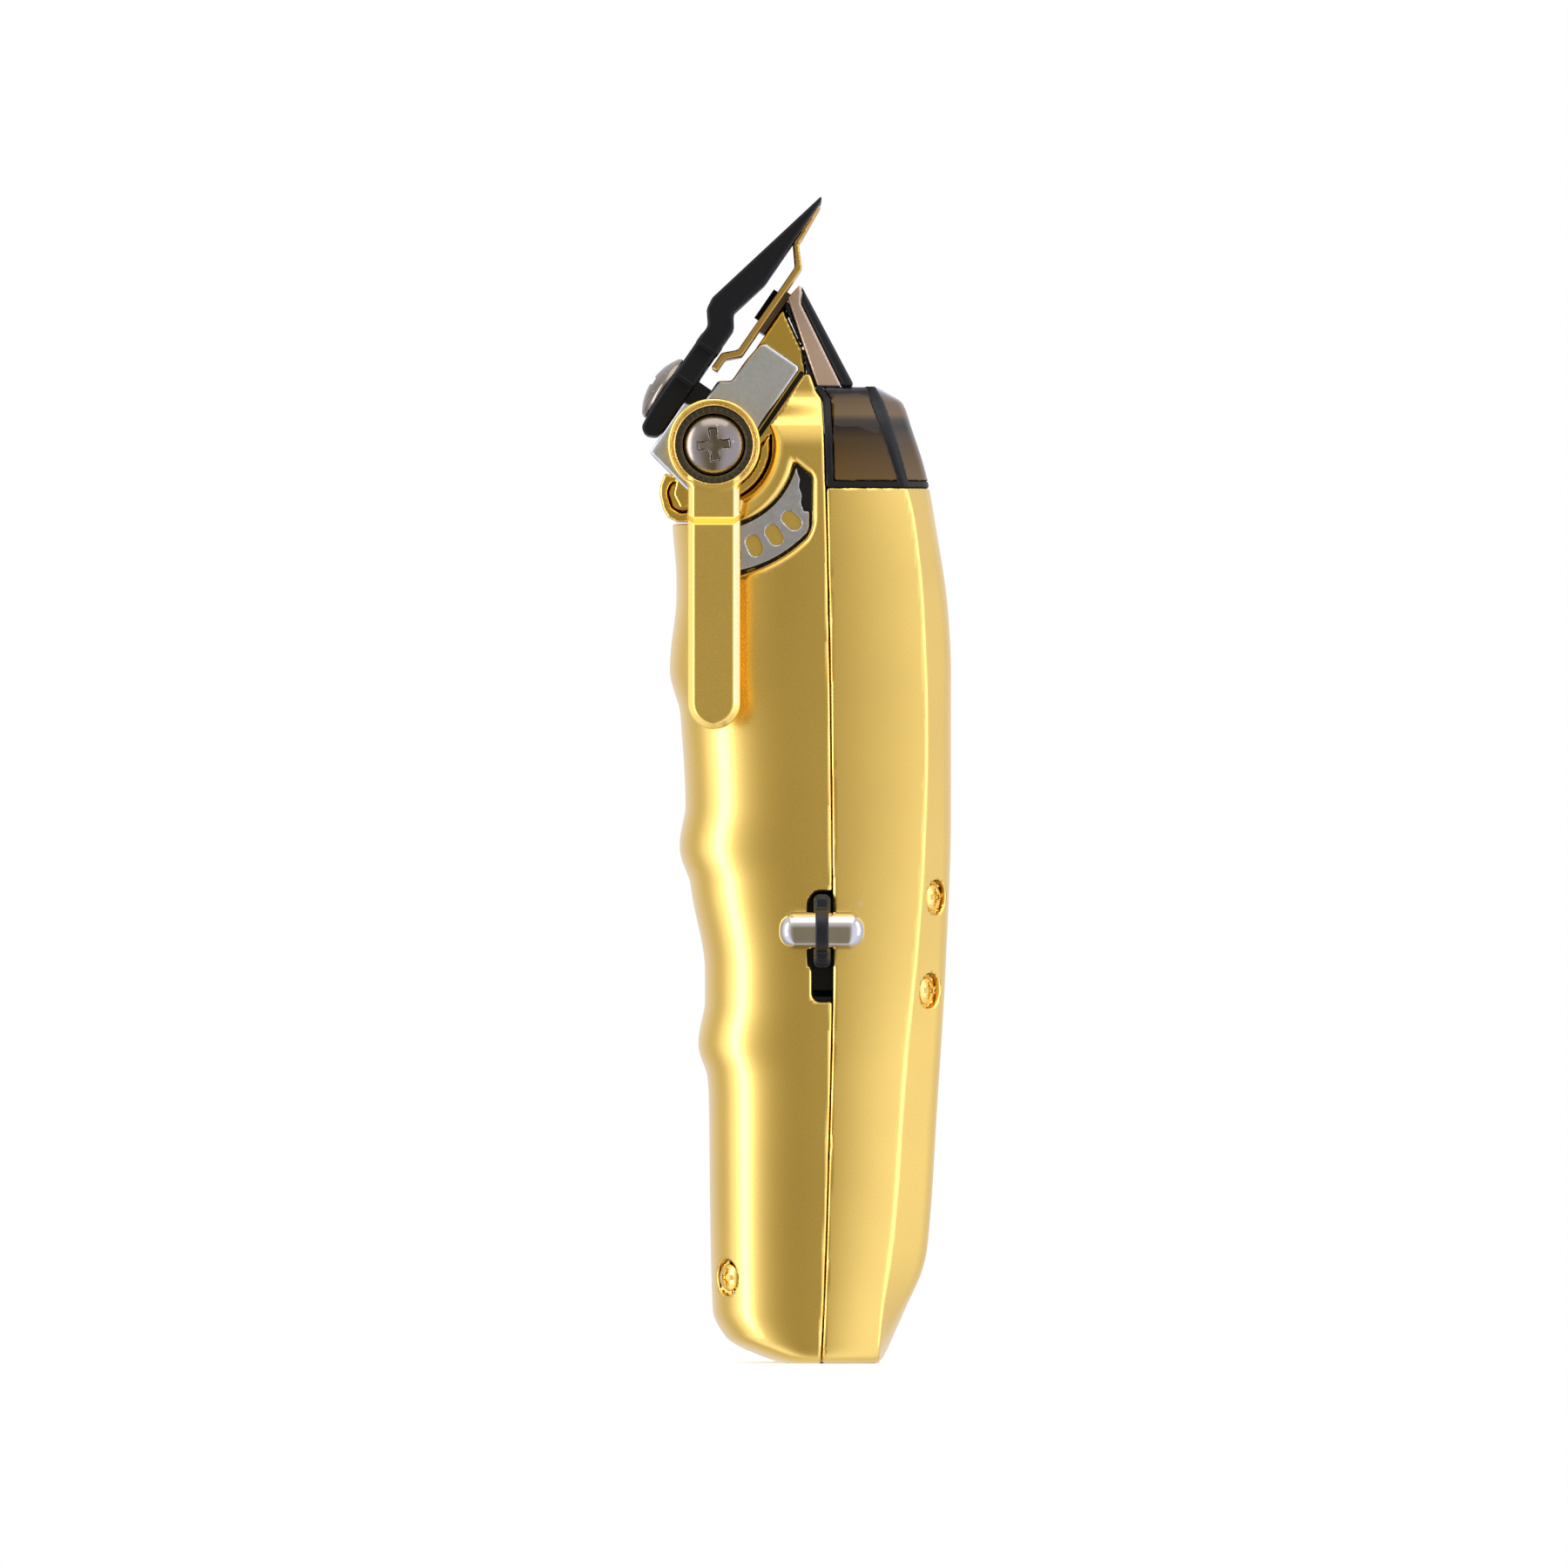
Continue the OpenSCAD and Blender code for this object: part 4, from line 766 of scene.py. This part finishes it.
# ---------------- blades, in their own slanting frame
# Their fields take x, n out from the face of the teeth, and s along the blade, 0 at the tips.
TURN = np.array([[1, 0, 0], [0, -math.cos(SLANT), math.sin(SLANT)],
                 [0, math.sin(SLANT), math.cos(SLANT)]])
BLADE_FRAME = (TURN, np.array([0, TIP_Y, TIP_Z]))
BLADE_W = lo_hi("fixed_blade")[1][0]
CUTTER_W = lo_hi("moving_blade")[1][0]
FIXED_TEETH, CUTTER_TEETH = 31, 21
FIXED_GAP, CUTTER_GAP = 0.48, 0.44  # share of a tooth's pitch that is open
TANG_W, TANG_S = 16.85, -34.4
BLADE_SCREW_X, BLADE_SCREW_S = 10.0, -37.1


def gaps(x, half, count, share):
    """Distance to the gaps between teeth, negative inside a gap."""
    pitch = 2 * half / count
    off = np.abs((x + half + pitch / 2) % pitch - pitch / 2)
    gap = off - pitch * share / 2
    return np.maximum(gap, np.abs(x) - half + pitch * 0.6)


FACE = -0.4  # the side of the fixed blade that the cutter runs on
WEDGE = filleted([(0.05, 0.05), (4.9, -21.8), (4.6, -23.7), (3.0, -25.7), (3.1, -28.5),
                  (FACE, -28.5), (FACE, -24), (-0.1, -23.3), (1.0, -21.8), (FACE, -15.5),
                  (FACE, -0.5), (-0.2, 0)],
                 [0.1, 1.4, 1.6, 1.4, 0, 0, 0.2, 0.3, 0.3, 0.3, 0.2, 0.1])
TANG = filleted([(3.1, -33), (3.1, -40.5), (2.7, -43.9), (1.5, -44.6), (0, -43.8), (FACE, -42),
                 (FACE, -33)], [0, 3, 1.6, 1.2, 1, 1, 0])


def fixed_blade(x, n, s):
    ax = np.abs(x)
    wedge = meet(polygon(n, s, WEDGE), ax - BLADE_W, 0.5)
    bar = meet(meet(slab(n, FACE, 3.1), slab(s, TANG_S, -27), 0.2), ax - BLADE_W + 2.6, 0.6)
    out = join(join(wedge, bar, 0.3), meet(polygon(n, s, TANG), ax - TANG_W, 0.5), 0.3)
    root = -6.3 - s + 0.4 * np.cos(x)
    out = cut(out, np.maximum(gaps(x, BLADE_W, FIXED_TEETH, FIXED_GAP), root), 0.08)
    hole = np.hypot(ax - BLADE_SCREW_X, s - BLADE_SCREW_S)
    return cut(out, hole - 1.7, 0.1)


solid("fixed_blade_steel", fixed_blade, (-BLADE_W - 0.5, -1.0, -45.4), (BLADE_W + 0.5, 5.7, 0.6),
      0.42, "blade_carriage", ["fixed_blade"], M["blade"],
      {"x": [(-24, 24, 0.24)], "y": [(-1.1, 0.6, 0.16), (0.6, 6, 0.34)], "z": [(-7.5, 1, 0.3)]},
      place=BLADE_FRAME)
SHEET = filleted([(-0.45, -1), (-0.45, -8.1), (-2.75, -10.9), (-2.75, -26), (-0.95, -27.8),
                  (-0.95, -30.5), (-1.95, -30.5), (-1.95, -28.3), (-3.75, -26.5), (-3.75, -10.4),
                  (-1.3, -7.7), (-0.75, -1)],
                 [0.1, 0.5, 0.9, 0.9, 0.8, 0.05, 0.05, 0.6, 0.9, 0.9, 0.6, 0.1], 4)


def moving_blade(x, n, s):
    out = meet(polygon(n, s, SHEET), np.abs(x) - CUTTER_W, 0.12)
    out = cut(out, np.maximum(gaps(x, CUTTER_W, CUTTER_TEETH, CUTTER_GAP), -7 - s), 0.06)
    window = meet(np.abs(x) - 5, slab(s, -20.6, -15.2), 0.5)
    return cut(out, window, 0.06)


solid("cutter_sheet", moving_blade, (-CUTTER_W - 0.4, -4.3, -31.1), (CUTTER_W + 0.4, 0.1, -0.5),
      0.4, "cutter_drive", ["moving_blade"], M["cutter"],
      {"x": [(-24, 24, 0.3)], "y": [(-5, 1, 0.17)], "z": [(-8, 0, 0.35), (-29, -8, 0.3)]},
      place=BLADE_FRAME)
CARRIER_W = lo_hi("blade_carrier")[1][0]
FLANGE_T = 1.5
FLANGE = filleted([(-5.6, -22.8), (-11.6, -22.8), (-12.1, -23.3), (-12.1, -37), (-13.6, -41),
                   (-13, -45), (-9, -47.7), (-8.3, -47.8), (-0.9, -46.4), (-0.9, -37),
                   (-2.9, -35.6), (-2.9, -31.6), (-4.6, -30.4), (-4.6, -26.9), (-5, -23.4)],
                  [1.2, 0.5, 0.5, 0.4, 2, 1, 0.3, 0.3, 0.5, 1.2, 0.6, 0.9, 0.9, 0.8, 0.8])
CARRIER_TRAVEL = JOINT["blade_height"]["range_m"][1] / MM
HALF_SWING = math.radians(JOINT["taper_lever"]["range_deg"][1] / 2)
THROW = CARRIER_TRAVEL / (2 * math.sin(HALF_SWING))  # of the pin on the lever's cam


def blade_carrier(x, n, s):
    ax = np.abs(x)
    flange = meet(polygon(n, s, FLANGE), slab(ax, CARRIER_W - FLANGE_T, CARRIER_W), 0.5)
    wall = meet(meet(slab(n, -2.6, -0.5), slab(s, -46.3, -37), 0.2), ax - CARRIER_W, 0.3)
    tab = meet(meet(slab(n, -2.6, -1.6), slab(s, -37.5, -34.4), 0.2), ax - 13.8, 0.2)
    out = join(join(flange, wall, 0.25), tab, 0.1)
    # The pivot screw's slot, as long as the travel, and the cam pin's slot across it.
    dn, ds, half = n - PIVOT_N, s - PIVOT_S, CARRIER_TRAVEL / 2
    out = cut(out, np.hypot(dn, ds + half - np.clip(ds + half, -half, half)) - 1.85, 0.1)
    slot = meet(slab(-dn, 0, THROW + 1.45), slab(ds, -half - 1.2, -half + 1.2))
    out = cut(out, np.maximum(slot, 10 - x), 0.1)
    screw_hole_r = np.hypot(ax - BLADE_SCREW_X, s - BLADE_SCREW_S) - 1.6
    return cut(out, np.maximum(screw_hole_r, 0 * n), 0.1)


solid("blade_bracket", blade_carrier, (-CARRIER_W - 0.5, -14.3, -48.5),
      (CARRIER_W + 0.5, 0.1, -22.2), 0.5, "blade_carriage", ["blade_carrier"],
      M["steel"],
      {"x": [(-18, -14.6, 0.26), (14.6, 18, 0.26)], "y": [(-15, 1, 0.28)], "z": [(-49, -22, 0.28)]},
      place=BLADE_FRAME)


def cheek_shade_strip(x, n, s):
    """Black strip on the head's cheeks beside the bracket: painted shade standing in for the dark gap
    there.
    """
    strip = meet(slab(n, -13.0, -12.3), slab(s, -37, -23.2), 0.2)
    return meet(strip, slab(np.abs(x), HEAD_W - 0.2, HEAD_W + 0.5), 0.1)


# A black strip of painted shade on each cheek, beside the bracket.
solid("cheek_shade_strip_pair", cheek_shade_strip, (-HEAD_W - 0.9, -13.4, -37.4), (HEAD_W + 0.9, -11.9, -22.8),
      0.3, "housing", [], M["black"],
      {"x": [(-HEAD_W - 1, -HEAD_W + 1, 0.15), (HEAD_W - 1, HEAD_W + 1, 0.15)],
       "y": [(-14, -11, 0.15)]}, place=BLADE_FRAME)


BLADE_HEAD_R, BLADE_HEAD_TOP = 5.2, 5.4


def blade_screw(x, n, s):
    a, b = np.abs(x) - BLADE_SCREW_X, s - BLADE_SCREW_S
    head = dome(a, b, n, BLADE_HEAD_R, BLADE_HEAD_TOP, 1.7, 3.12, 0.35)
    r = np.hypot(a, b)
    head = cut(head, meet(np.abs(r - 4.35) - 0.12, 4.25 - n, 0), 0.1)
    head = cut(head, phillips(a, b, n, BLADE_HEAD_TOP, 2.3, 0.5, 1.6), 0.08)
    return np.minimum(head, np.maximum(r - 1.55, slab(n, -2.2, 3.3)))


solid("blade_screw_pair", blade_screw, (-15.8, -2.6, -42.8), (15.8, 5.8, -31.4), 0.28,
      "blade_carriage", ["blade_screws"], M["screw"], {"y": [(-3, 6, 0.2)]}, place=BLADE_FRAME)

# ---------------- taper lever
LEVER_LO, LEVER_HI = lo_hi("taper_lever")
RING_R = LEVER_HI[1] - PIVOT_Y
HUB_X = LEVER_LO[0]
LEVER_X = SHOULDER + 0.45
RING_TOP = LEVER_X + 1.7
PADDLE_TOP = LEVER_HI[0]
PADDLE_END = PIVOT_Z - LEVER_LO[2]
PADDLE_R, NECK_R, NECK_LEN = 4.0, 3.9, 11.0
WASHER_R = RING_R - 1.15
HEAD_R = WASHER_R - 1.1
SHOULDER_R, RUN_FIT = 3.0, 0.05


def taper_lever(x, y, z):
    dy, dz, r = around_pivot(y, z)
    ring = meet(r - RING_R, slab(x, HUB_X, RING_TOP), 0.45)
    ring = cut(ring, np.maximum(np.abs(r - (WASHER_R + 0.42)) - 0.16, RING_TOP - 0.28 - x), 0.12)
    neck_top = LEVER_X + 1.9
    neck = meet(np.abs(dy) - NECK_R, slab(dz, -NECK_LEN - 1.5, -4), 0.3)
    neck = meet(neck, slab(x, LEVER_X, neck_top), 0.15)
    neck = meet(neck, (np.abs(dy) - NECK_R + x - neck_top) * math.sqrt(0.5) + 0.6, 0.12)
    tip = np.hypot(dy, dz + PADDLE_END - PADDLE_R)
    paddle = np.where(dz > -PADDLE_END + PADDLE_R, np.abs(dy), tip) - PADDLE_R
    bevel = (paddle + (x - PADDLE_TOP)) * math.sqrt(0.5) + 0.72
    top = meet(meet(paddle, slab(x, LEVER_X, PADDLE_TOP), 0.25), bevel, 0.15)
    ramp = (x - neck_top) * 0.51 + (dz + NECK_LEN) * 0.86
    top = meet(top, ramp, 0.1)
    out = join(join(ring, neck, 0.6), top, 0.15)
    out = cut(out, np.maximum(r - WASHER_R, HUB_X + 1.5 - x), 0.15)
    return cut(out, r - SHOULDER_R - RUN_FIT)


solid("taper_lever_arm", taper_lever, (HUB_X - 0.4, LEVER_LO[1] - 0.5, LEVER_LO[2] - 0.6),
      (PADDLE_TOP + 0.5, LEVER_HI[1] + 0.5, LEVER_HI[2] + 0.5), 0.24, "lever", ["taper_lever"],
      M["satin"],
      {"y": [(PIVOT_Y - 8, PIVOT_Y + 8, 0.17)], "z": [(PIVOT_Z - 13, PIVOT_Z + 8, 0.16)]})
CAM_LO, CAM_HI = lo_hi("lever_cam")


def lever_cam(x, y, z):
    """Cam behind the lever, with the crank pin that moves the bracket."""
    dy, dz, r = around_pivot(y, z)
    lo, hi = CAM_LO[0], CAM_HI[0]
    out = meet(r - RING_R + 0.2, slab(x, hi - 2.3, hi), 0.3)
    rest = -SLANT - HALF_SWING
    pin = np.hypot(dy - THROW * math.cos(rest), dz - THROW * math.sin(rest)) - 1.15
    out = np.minimum(out, np.maximum(pin, slab(x, lo, hi - 1)))
    return cut(out, r - SHOULDER_R - RUN_FIT, 0.1)


solid("lever_cam_disc", lever_cam, CAM_LO - 0.4, CAM_HI + 0.4, 0.27, "lever", ["lever_cam"],
      M["polished"])


WASHER_TEETH = 36


def lock_washer(x, y, z):
    dy, dz, r = around_pivot(y, z)
    wave = 0.03 * np.cos(np.arctan2(dz, dy) * WASHER_TEETH)
    thick = slab(x, HUB_X + 1.5, RING_TOP - 0.75 + wave)
    return meet(slab(r, HEAD_R + 0.15, WASHER_R - 0.02), thick, 0.12)


solid("toothed_washer", lock_washer, (HUB_X + 1.2, PIVOT_Y - 6.3, PIVOT_Z - 6.3),
      (RING_TOP, PIVOT_Y + 6.3, PIVOT_Z + 6.3), 0.17, "lever", ["lever_lock_washer"],
      M["dark_steel"])
SCREW_TOP = lo_hi("lever_screw")[1][0]


def lever_screw(x, y, z):
    dy, dz, r = around_pivot(y, z)
    turn = math.radians(5)  # the cross stands a little askew
    a = dy * math.cos(turn) + dz * math.sin(turn)
    b = -dy * math.sin(turn) + dz * math.cos(turn)
    base = HUB_X + 1.6
    head = dome(a, b, x, HEAD_R, SCREW_TOP, SCREW_TOP - base - 1.7, base, 0.3)
    head = cut(head, phillips(a, b, x, SCREW_TOP, 2.45, 0.55, 1.8), 0.1)
    shaft = np.minimum(np.maximum(r - SHOULDER_R, slab(x, CAM_LO[0] + 1.75 - 0.05, base + 0.2)),
                       np.maximum(r - 1.5, slab(x, HEAD_W, CAM_LO[0] + 2)))
    thread = np.maximum(r - 1.2, slab(x, 9.8, HEAD_W + 0.2))
    return np.minimum(head, np.minimum(shaft, thread))


solid("lever_pivot_screw", lever_screw, (9.5, PIVOT_Y - 5.2, PIVOT_Z - 5.2),
      (SCREW_TOP + 0.4, PIVOT_Y + 5.2, PIVOT_Z + 5.2), 0.2, "housing", ["lever_screw"],
      M["screw"])
PLATE_LO, PLATE_HI = lo_hi("detent_plate")
DETENT_R = 16.35  # circle of the click slots about the pivot, five of them 12 degrees apart
DETENTS = [math.radians(-2.2 + 12 * k) for k in range(5)]


def detent_slots(y, z, r):
    out = np.float32(99)
    for a in DETENTS:
        cy, cz = PIVOT_Y + DETENT_R * math.sin(a), PIVOT_Z - DETENT_R * math.cos(a)
        u = (y - cy) * math.cos(a) + (z - cz) * math.sin(a)
        v = -(y - cy) * math.sin(a) + (z - cz) * math.cos(a)
        out = np.minimum(out, obround(u, v, 0.6, r))
    return out


def detent_plate(x, y, z):
    out = pocket(y, z, 0.42, 0.5, POCKET_BACK + 0.05)
    relief = meet(POCKET_BACK - 1.35 - 0.12 * (z - 129) - y, 128.5 - z, 0.3)
    out = cut(out, relief + 0.12 * np.sin(2.6 * z), 0.25)
    out = cut(out, detent_slots(y, z, 1.05))
    return meet(out, slab(x, PLATE_LO[0] + 0.02, PLATE_HI[0]), 0.14)


def pocket_shade_sheet(x, y, z):
    """Black sheet round the plate and its slots: painted shade for the deep gap between the plate and
    the pocket.
    """
    out = cut(pocket(y, z, 0.05), detent_slots(y, z, 1.3))
    return meet(out, slab(x, PLATE_LO[0] - 0.25, PLATE_LO[0] + 0.14), 0.04)


solid("detent_click_plate", detent_plate,
      (PLATE_LO[0] - 0.3, PLATE_LO[1] - 0.4, PLATE_LO[2] - 0.4),
      (PLATE_HI[0] + 0.3, PLATE_HI[1] + 0.6, PLATE_HI[2] + 0.6), 0.19, "housing", ["detent_plate"],
      M["plate"])
# A black sheet of painted shade round the click plate.
solid("pocket_shade_sheet", pocket_shade_sheet, (PLATE_LO[0] - 0.5, PLATE_LO[1] - 0.9, PLATE_LO[2] - 0.9),
      (PLATE_LO[0] + 0.5, PLATE_HI[1] + 1, PLATE_HI[2] + 1), 0.19, "housing", [],
      M["black"], {"x": [(PLATE_LO[0] - 1, PLATE_LO[0] + 1, 0.09)]})

# ---------------- power switch
BARREL_R = (BARREL_HI[0] - BARREL_LO[0]) / 2
BARREL_X = (BARREL_HI[0] + BARREL_LO[0]) / 2
BARREL_Z = (BARREL_HI[2] + BARREL_LO[2]) / 2
BARREL_HALF = (BARREL_HI[1] - BARREL_LO[1]) / 2


def switch_barrel(x, y, z):
    r = np.hypot(x - BARREL_X, z - BARREL_Z)
    return meet(r - BARREL_R, np.abs(y - SWITCH_Y) - BARREL_HALF, 2.4)


solid("switch_barrel_body", switch_barrel, BARREL_LO - 0.4, BARREL_HI + 0.4, 0.2, "power_switch",
      ["switch_barrel"], M["bright"])


def switch_slider(x, y, z):
    """Stem and apron under the barrel, and the strap round it."""
    stem = meet(meet(np.abs(y - SWITCH_Y) - 1.25, slab(z, SWITCH_LO[2], SWITCH_HI[2]), 0.9),
                slab(x, SWITCH_LO[0], BARREL_LO[0] - 0.35), 0.2)
    r = np.hypot(x - BARREL_X, z - BARREL_Z)
    strap = meet(r - BARREL_R - 0.45, np.abs(y - SWITCH_Y) - 1.0, 0.25)
    apron = meet(meet(np.abs(y - SWITCH_Y) - 1.0,
                      slab(z, SWITCH_LO[2] + 1, SWITCH_HI[2] - 0.5), 0.6),
                 slab(x, BARREL_LO[0] - 0.7, BARREL_X - 0.4 - 0.24 * np.abs(z - BARREL_Z)), 0.3)
    out = join(join(stem, strap, 0.3), apron, 0.6)
    return cut(out, r - BARREL_R - 0.01)


solid("switch_slider_body", switch_slider, (SWITCH_LO[0] - 0.4, SWITCH_Y - 2.4, SWITCH_LO[2] - 0.4),
      (SWITCH_HI[0] + 0.4, SWITCH_Y + 2.4, SWITCH_HI[2] + 0.4), 0.24, "power_switch",
      ["switch_slider"], M["black"])

# ---------------- shell screws
def shell_screw(screws):
    def field(x, y, z):
        out = np.float32(99)
        for screw in screws:
            a, b, along = screw_axes(x, y, z, screw)
            head = dome(a, b, along, 2.05, -0.1, 0.6, -1.15, 0.15)
            head = cut(head, phillips(a, b, along, -0.1, 1.25, 0.28, 0.8), 0.05)
            shaft = np.maximum(np.hypot(a, b) - 1.15, slab(along, -6, -1.1))
            out = np.minimum(out, np.minimum(head, shaft))
        return out
    return field


for name, node, screws in (("front_screw_pair", "front_shell_screws", [front_screw()]),
                           ("rear_screw_set", "rear_shell_screws", REAR_SCREWS)):
    low, high = lo_hi(node)
    inner = min(abs(screws[0][0]) - 7, 18)
    solid(name, shell_screw(screws), low - 0.5, high + 0.5, 1.2, "housing", [node],
          M["polished"],
          {"x": [(low[0] - 1, -inner, 0.19), (inner, high[0] + 1, 0.19)],
           "y": [(low[1] - 1, high[1] + 1, 0.19)],
           "z": [(s[2] - 3, s[2] + 3, 0.19) for s in screws]})

# ---------------- carried-over CAD pieces
KEPT = {
    "base_plate": "black", "charge_inlet": "bright", "charge_contacts": "polished",
    "indicator_lens": "lens", "led": "lens", "motor_can": "steel", "motor_end_cap": "black",
    "motor_bearing": "bright", "motor_mount": "dark_steel", "motor_magnets": "magnet",
    "motor_armature": "copper", "battery_cell": "wrap", "battery_cradle": "black",
    "battery_tabs": "steel", "main_board": "board", "board_components": "black",
    "board_screws": "steel", "switch_body": "black", "switch_bezel": "black",
    "motor_shaft": "bright", "eccentric_cam": "white", "cutter_guide": "black",
    "drive_fork": "smoke", "cutter_spring": "bright", "carrier_spacer": "black",
    "detent_plunger": "bright"}
EDGE_BEVEL, SHARP = 0.12, math.radians(50)
for node, key in KEPT.items():
    obj = frame["nodes"][node]
    obj.data.materials.clear()
    obj.data.materials.append(M[key])
    bevel = obj.modifiers.new("edge", "BEVEL")
    bevel.width, bevel.segments = EDGE_BEVEL * MM, 2
    bevel.limit_method, bevel.angle_limit = "ANGLE", SHARP
    bevel.use_clamp_overlap = True

# ---------------- floor, light and camera
scene = bpy.context.scene
floor_mesh = bpy.data.meshes.new("floor")
FLOOR_SIDES, FLOOR_R = 96, 0.13
turns = [2 * math.pi * k / FLOOR_SIDES for k in range(FLOOR_SIDES)]
floor_mesh.from_pydata([(FLOOR_R * math.cos(a), FLOOR_R * math.sin(a), 0) for a in turns], [],
                       [list(range(FLOOR_SIDES))])
floor = bpy.data.objects.new("floor", floor_mesh)
scene.collection.objects.link(floor)
pale = bpy.data.materials.new("pale_floor")
pale.use_nodes = True
pale_shader = pale.node_tree.nodes["Principled BSDF"]
preset(pale_shader, Base_Color=(0.9, 0.9, 0.9, 1), Roughness=0.7, Specular_IOR_Level=0.1,
       Emission_Color=(1, 1, 1, 1), Emission_Strength=0.35)
floor_mesh.materials.append(pale)
floor.visible_glossy = False


AIM = Vector((0, -0.004, 0.08))


def softbox(name, where, size, power):
    """Soft light of a rectangle, aimed at the clipper and unseen by the camera."""
    light = bpy.data.lights.new(name, "AREA")
    light.shape, light.size, light.size_y = "RECTANGLE", size[0], size[1]
    light.energy = power
    obj = bpy.data.objects.new(name, light)
    obj.location = where
    obj.rotation_euler = (AIM - Vector(where)).to_track_quat("-Z", "Y").to_euler()
    scene.collection.objects.link(obj)
    obj.visible_camera = False


softbox("front_box", (0.30, -0.62, 0.15), (0.22, 0.9), 2.6)
softbox("rear_box", (0.20, 0.66, 0.20), (0.30, 0.9), 1.6)
softbox("top_box", (0.15, 0.0, 0.75), (0.7, 0.7), 2.2)

# The room round the object: brightness by compass direction, in degrees from +X towards +Y.
# A dark direction is warmer than a bright one.
ROOM = [(-180, 0.95), (-140, 0.8), (-120, 0.68), (-106, 0.8), (-93, 1.25), (-75, 1.4), (-55, 1.3),
        (-42, 1.0), (-28, 0.62), (-15, 0.45), (-2, 0.33), (4, 0.44), (10, 0.62), (20, 0.95),
        (30, 1.25), (60, 1.3), (90, 1.1), (112, 1.0), (135, 0.86), (180, 0.95)]
CEILING = (1.15, 1.15, 1.2, 1)
CEILING_FROM, CEILING_FULL = 0.3, 0.8


def room_color(light):
    warm = min(max((1.1 - light) / 0.7, 0), 1)
    return light, light * (1.05 - 0.14 * warm), light * (1.3 - 0.68 * warm)


world = bpy.data.worlds.new("studio")
scene.world = world
world.use_nodes = True
wt = world.node_tree
wt.nodes.clear()


def world_node(kind, **settings):
    node = wt.nodes.new("ShaderNode" + kind)
    for key, value in settings.items():
        setattr(node, key, value)
    return node


def wire(source, output, target, socket):
    wt.links.new(source.outputs[output], target.inputs[socket])


w_dir = world_node("TexCoord")
w_sep = world_node("SeparateXYZ")
w_angle = world_node("Math", operation="ARCTAN2")
w_turn = world_node("MapRange")
w_ramp = world_node("ValToRGB")
w_high = world_node("MapRange")
w_lift = world_node("Mix", data_type="RGBA")
w_room = world_node("Background")
w_white = world_node("Background")
w_path = world_node("LightPath")
w_mix = world_node("MixShader")
w_out = world_node("OutputWorld")
preset(w_turn, From_Min=-math.pi, From_Max=math.pi)
fill_ramp(w_ramp, [((angle + 180) / 360, room_color(light)) for angle, light in ROOM])
preset(w_high, From_Min=CEILING_FROM, From_Max=CEILING_FULL)
preset(w_lift, B=CEILING)
preset(w_white, Color=(1, 1, 1, 1))
wire(w_dir, "Generated", w_sep, "Vector")
wire(w_sep, "Y", w_angle, 0)
wire(w_sep, "X", w_angle, 1)
wire(w_angle, "Value", w_turn, "Value")
wire(w_turn, "Result", w_ramp, "Fac")
wire(w_sep, "Z", w_high, "Value")
wire(w_high, "Result", w_lift, "Factor")
wire(w_ramp, "Color", w_lift, "A")
wire(w_lift, "Result", w_room, "Color")
wire(w_path, "Is Camera Ray", w_mix, "Fac")
wire(w_room, "Background", w_mix, 1)
wire(w_white, "Background", w_mix, 2)
wire(w_mix, "Shader", w_out, "Surface")

# A long lens, level, from the lever's side; the middle and the width of the view are in metres.
LENS, SENSOR = 1000, 36
VIEW_Y, VIEW_Z, VIEW_WIDTH = -0.00893, 0.0875, 0.2364
camera_data = bpy.data.cameras.new("camera")
camera_data.lens, camera_data.sensor_width = LENS, SENSOR
camera_data.clip_start, camera_data.clip_end = 0.5, 50
camera = bpy.data.objects.new("camera", camera_data)
camera.location = (SHOULDER * MM + VIEW_WIDTH * LENS / SENSOR, VIEW_Y, VIEW_Z)
camera.rotation_euler = (math.pi / 2, 0, math.pi / 2)
scene.collection.objects.link(camera)
scene.camera = camera
scene.view_settings.view_transform = "Standard"
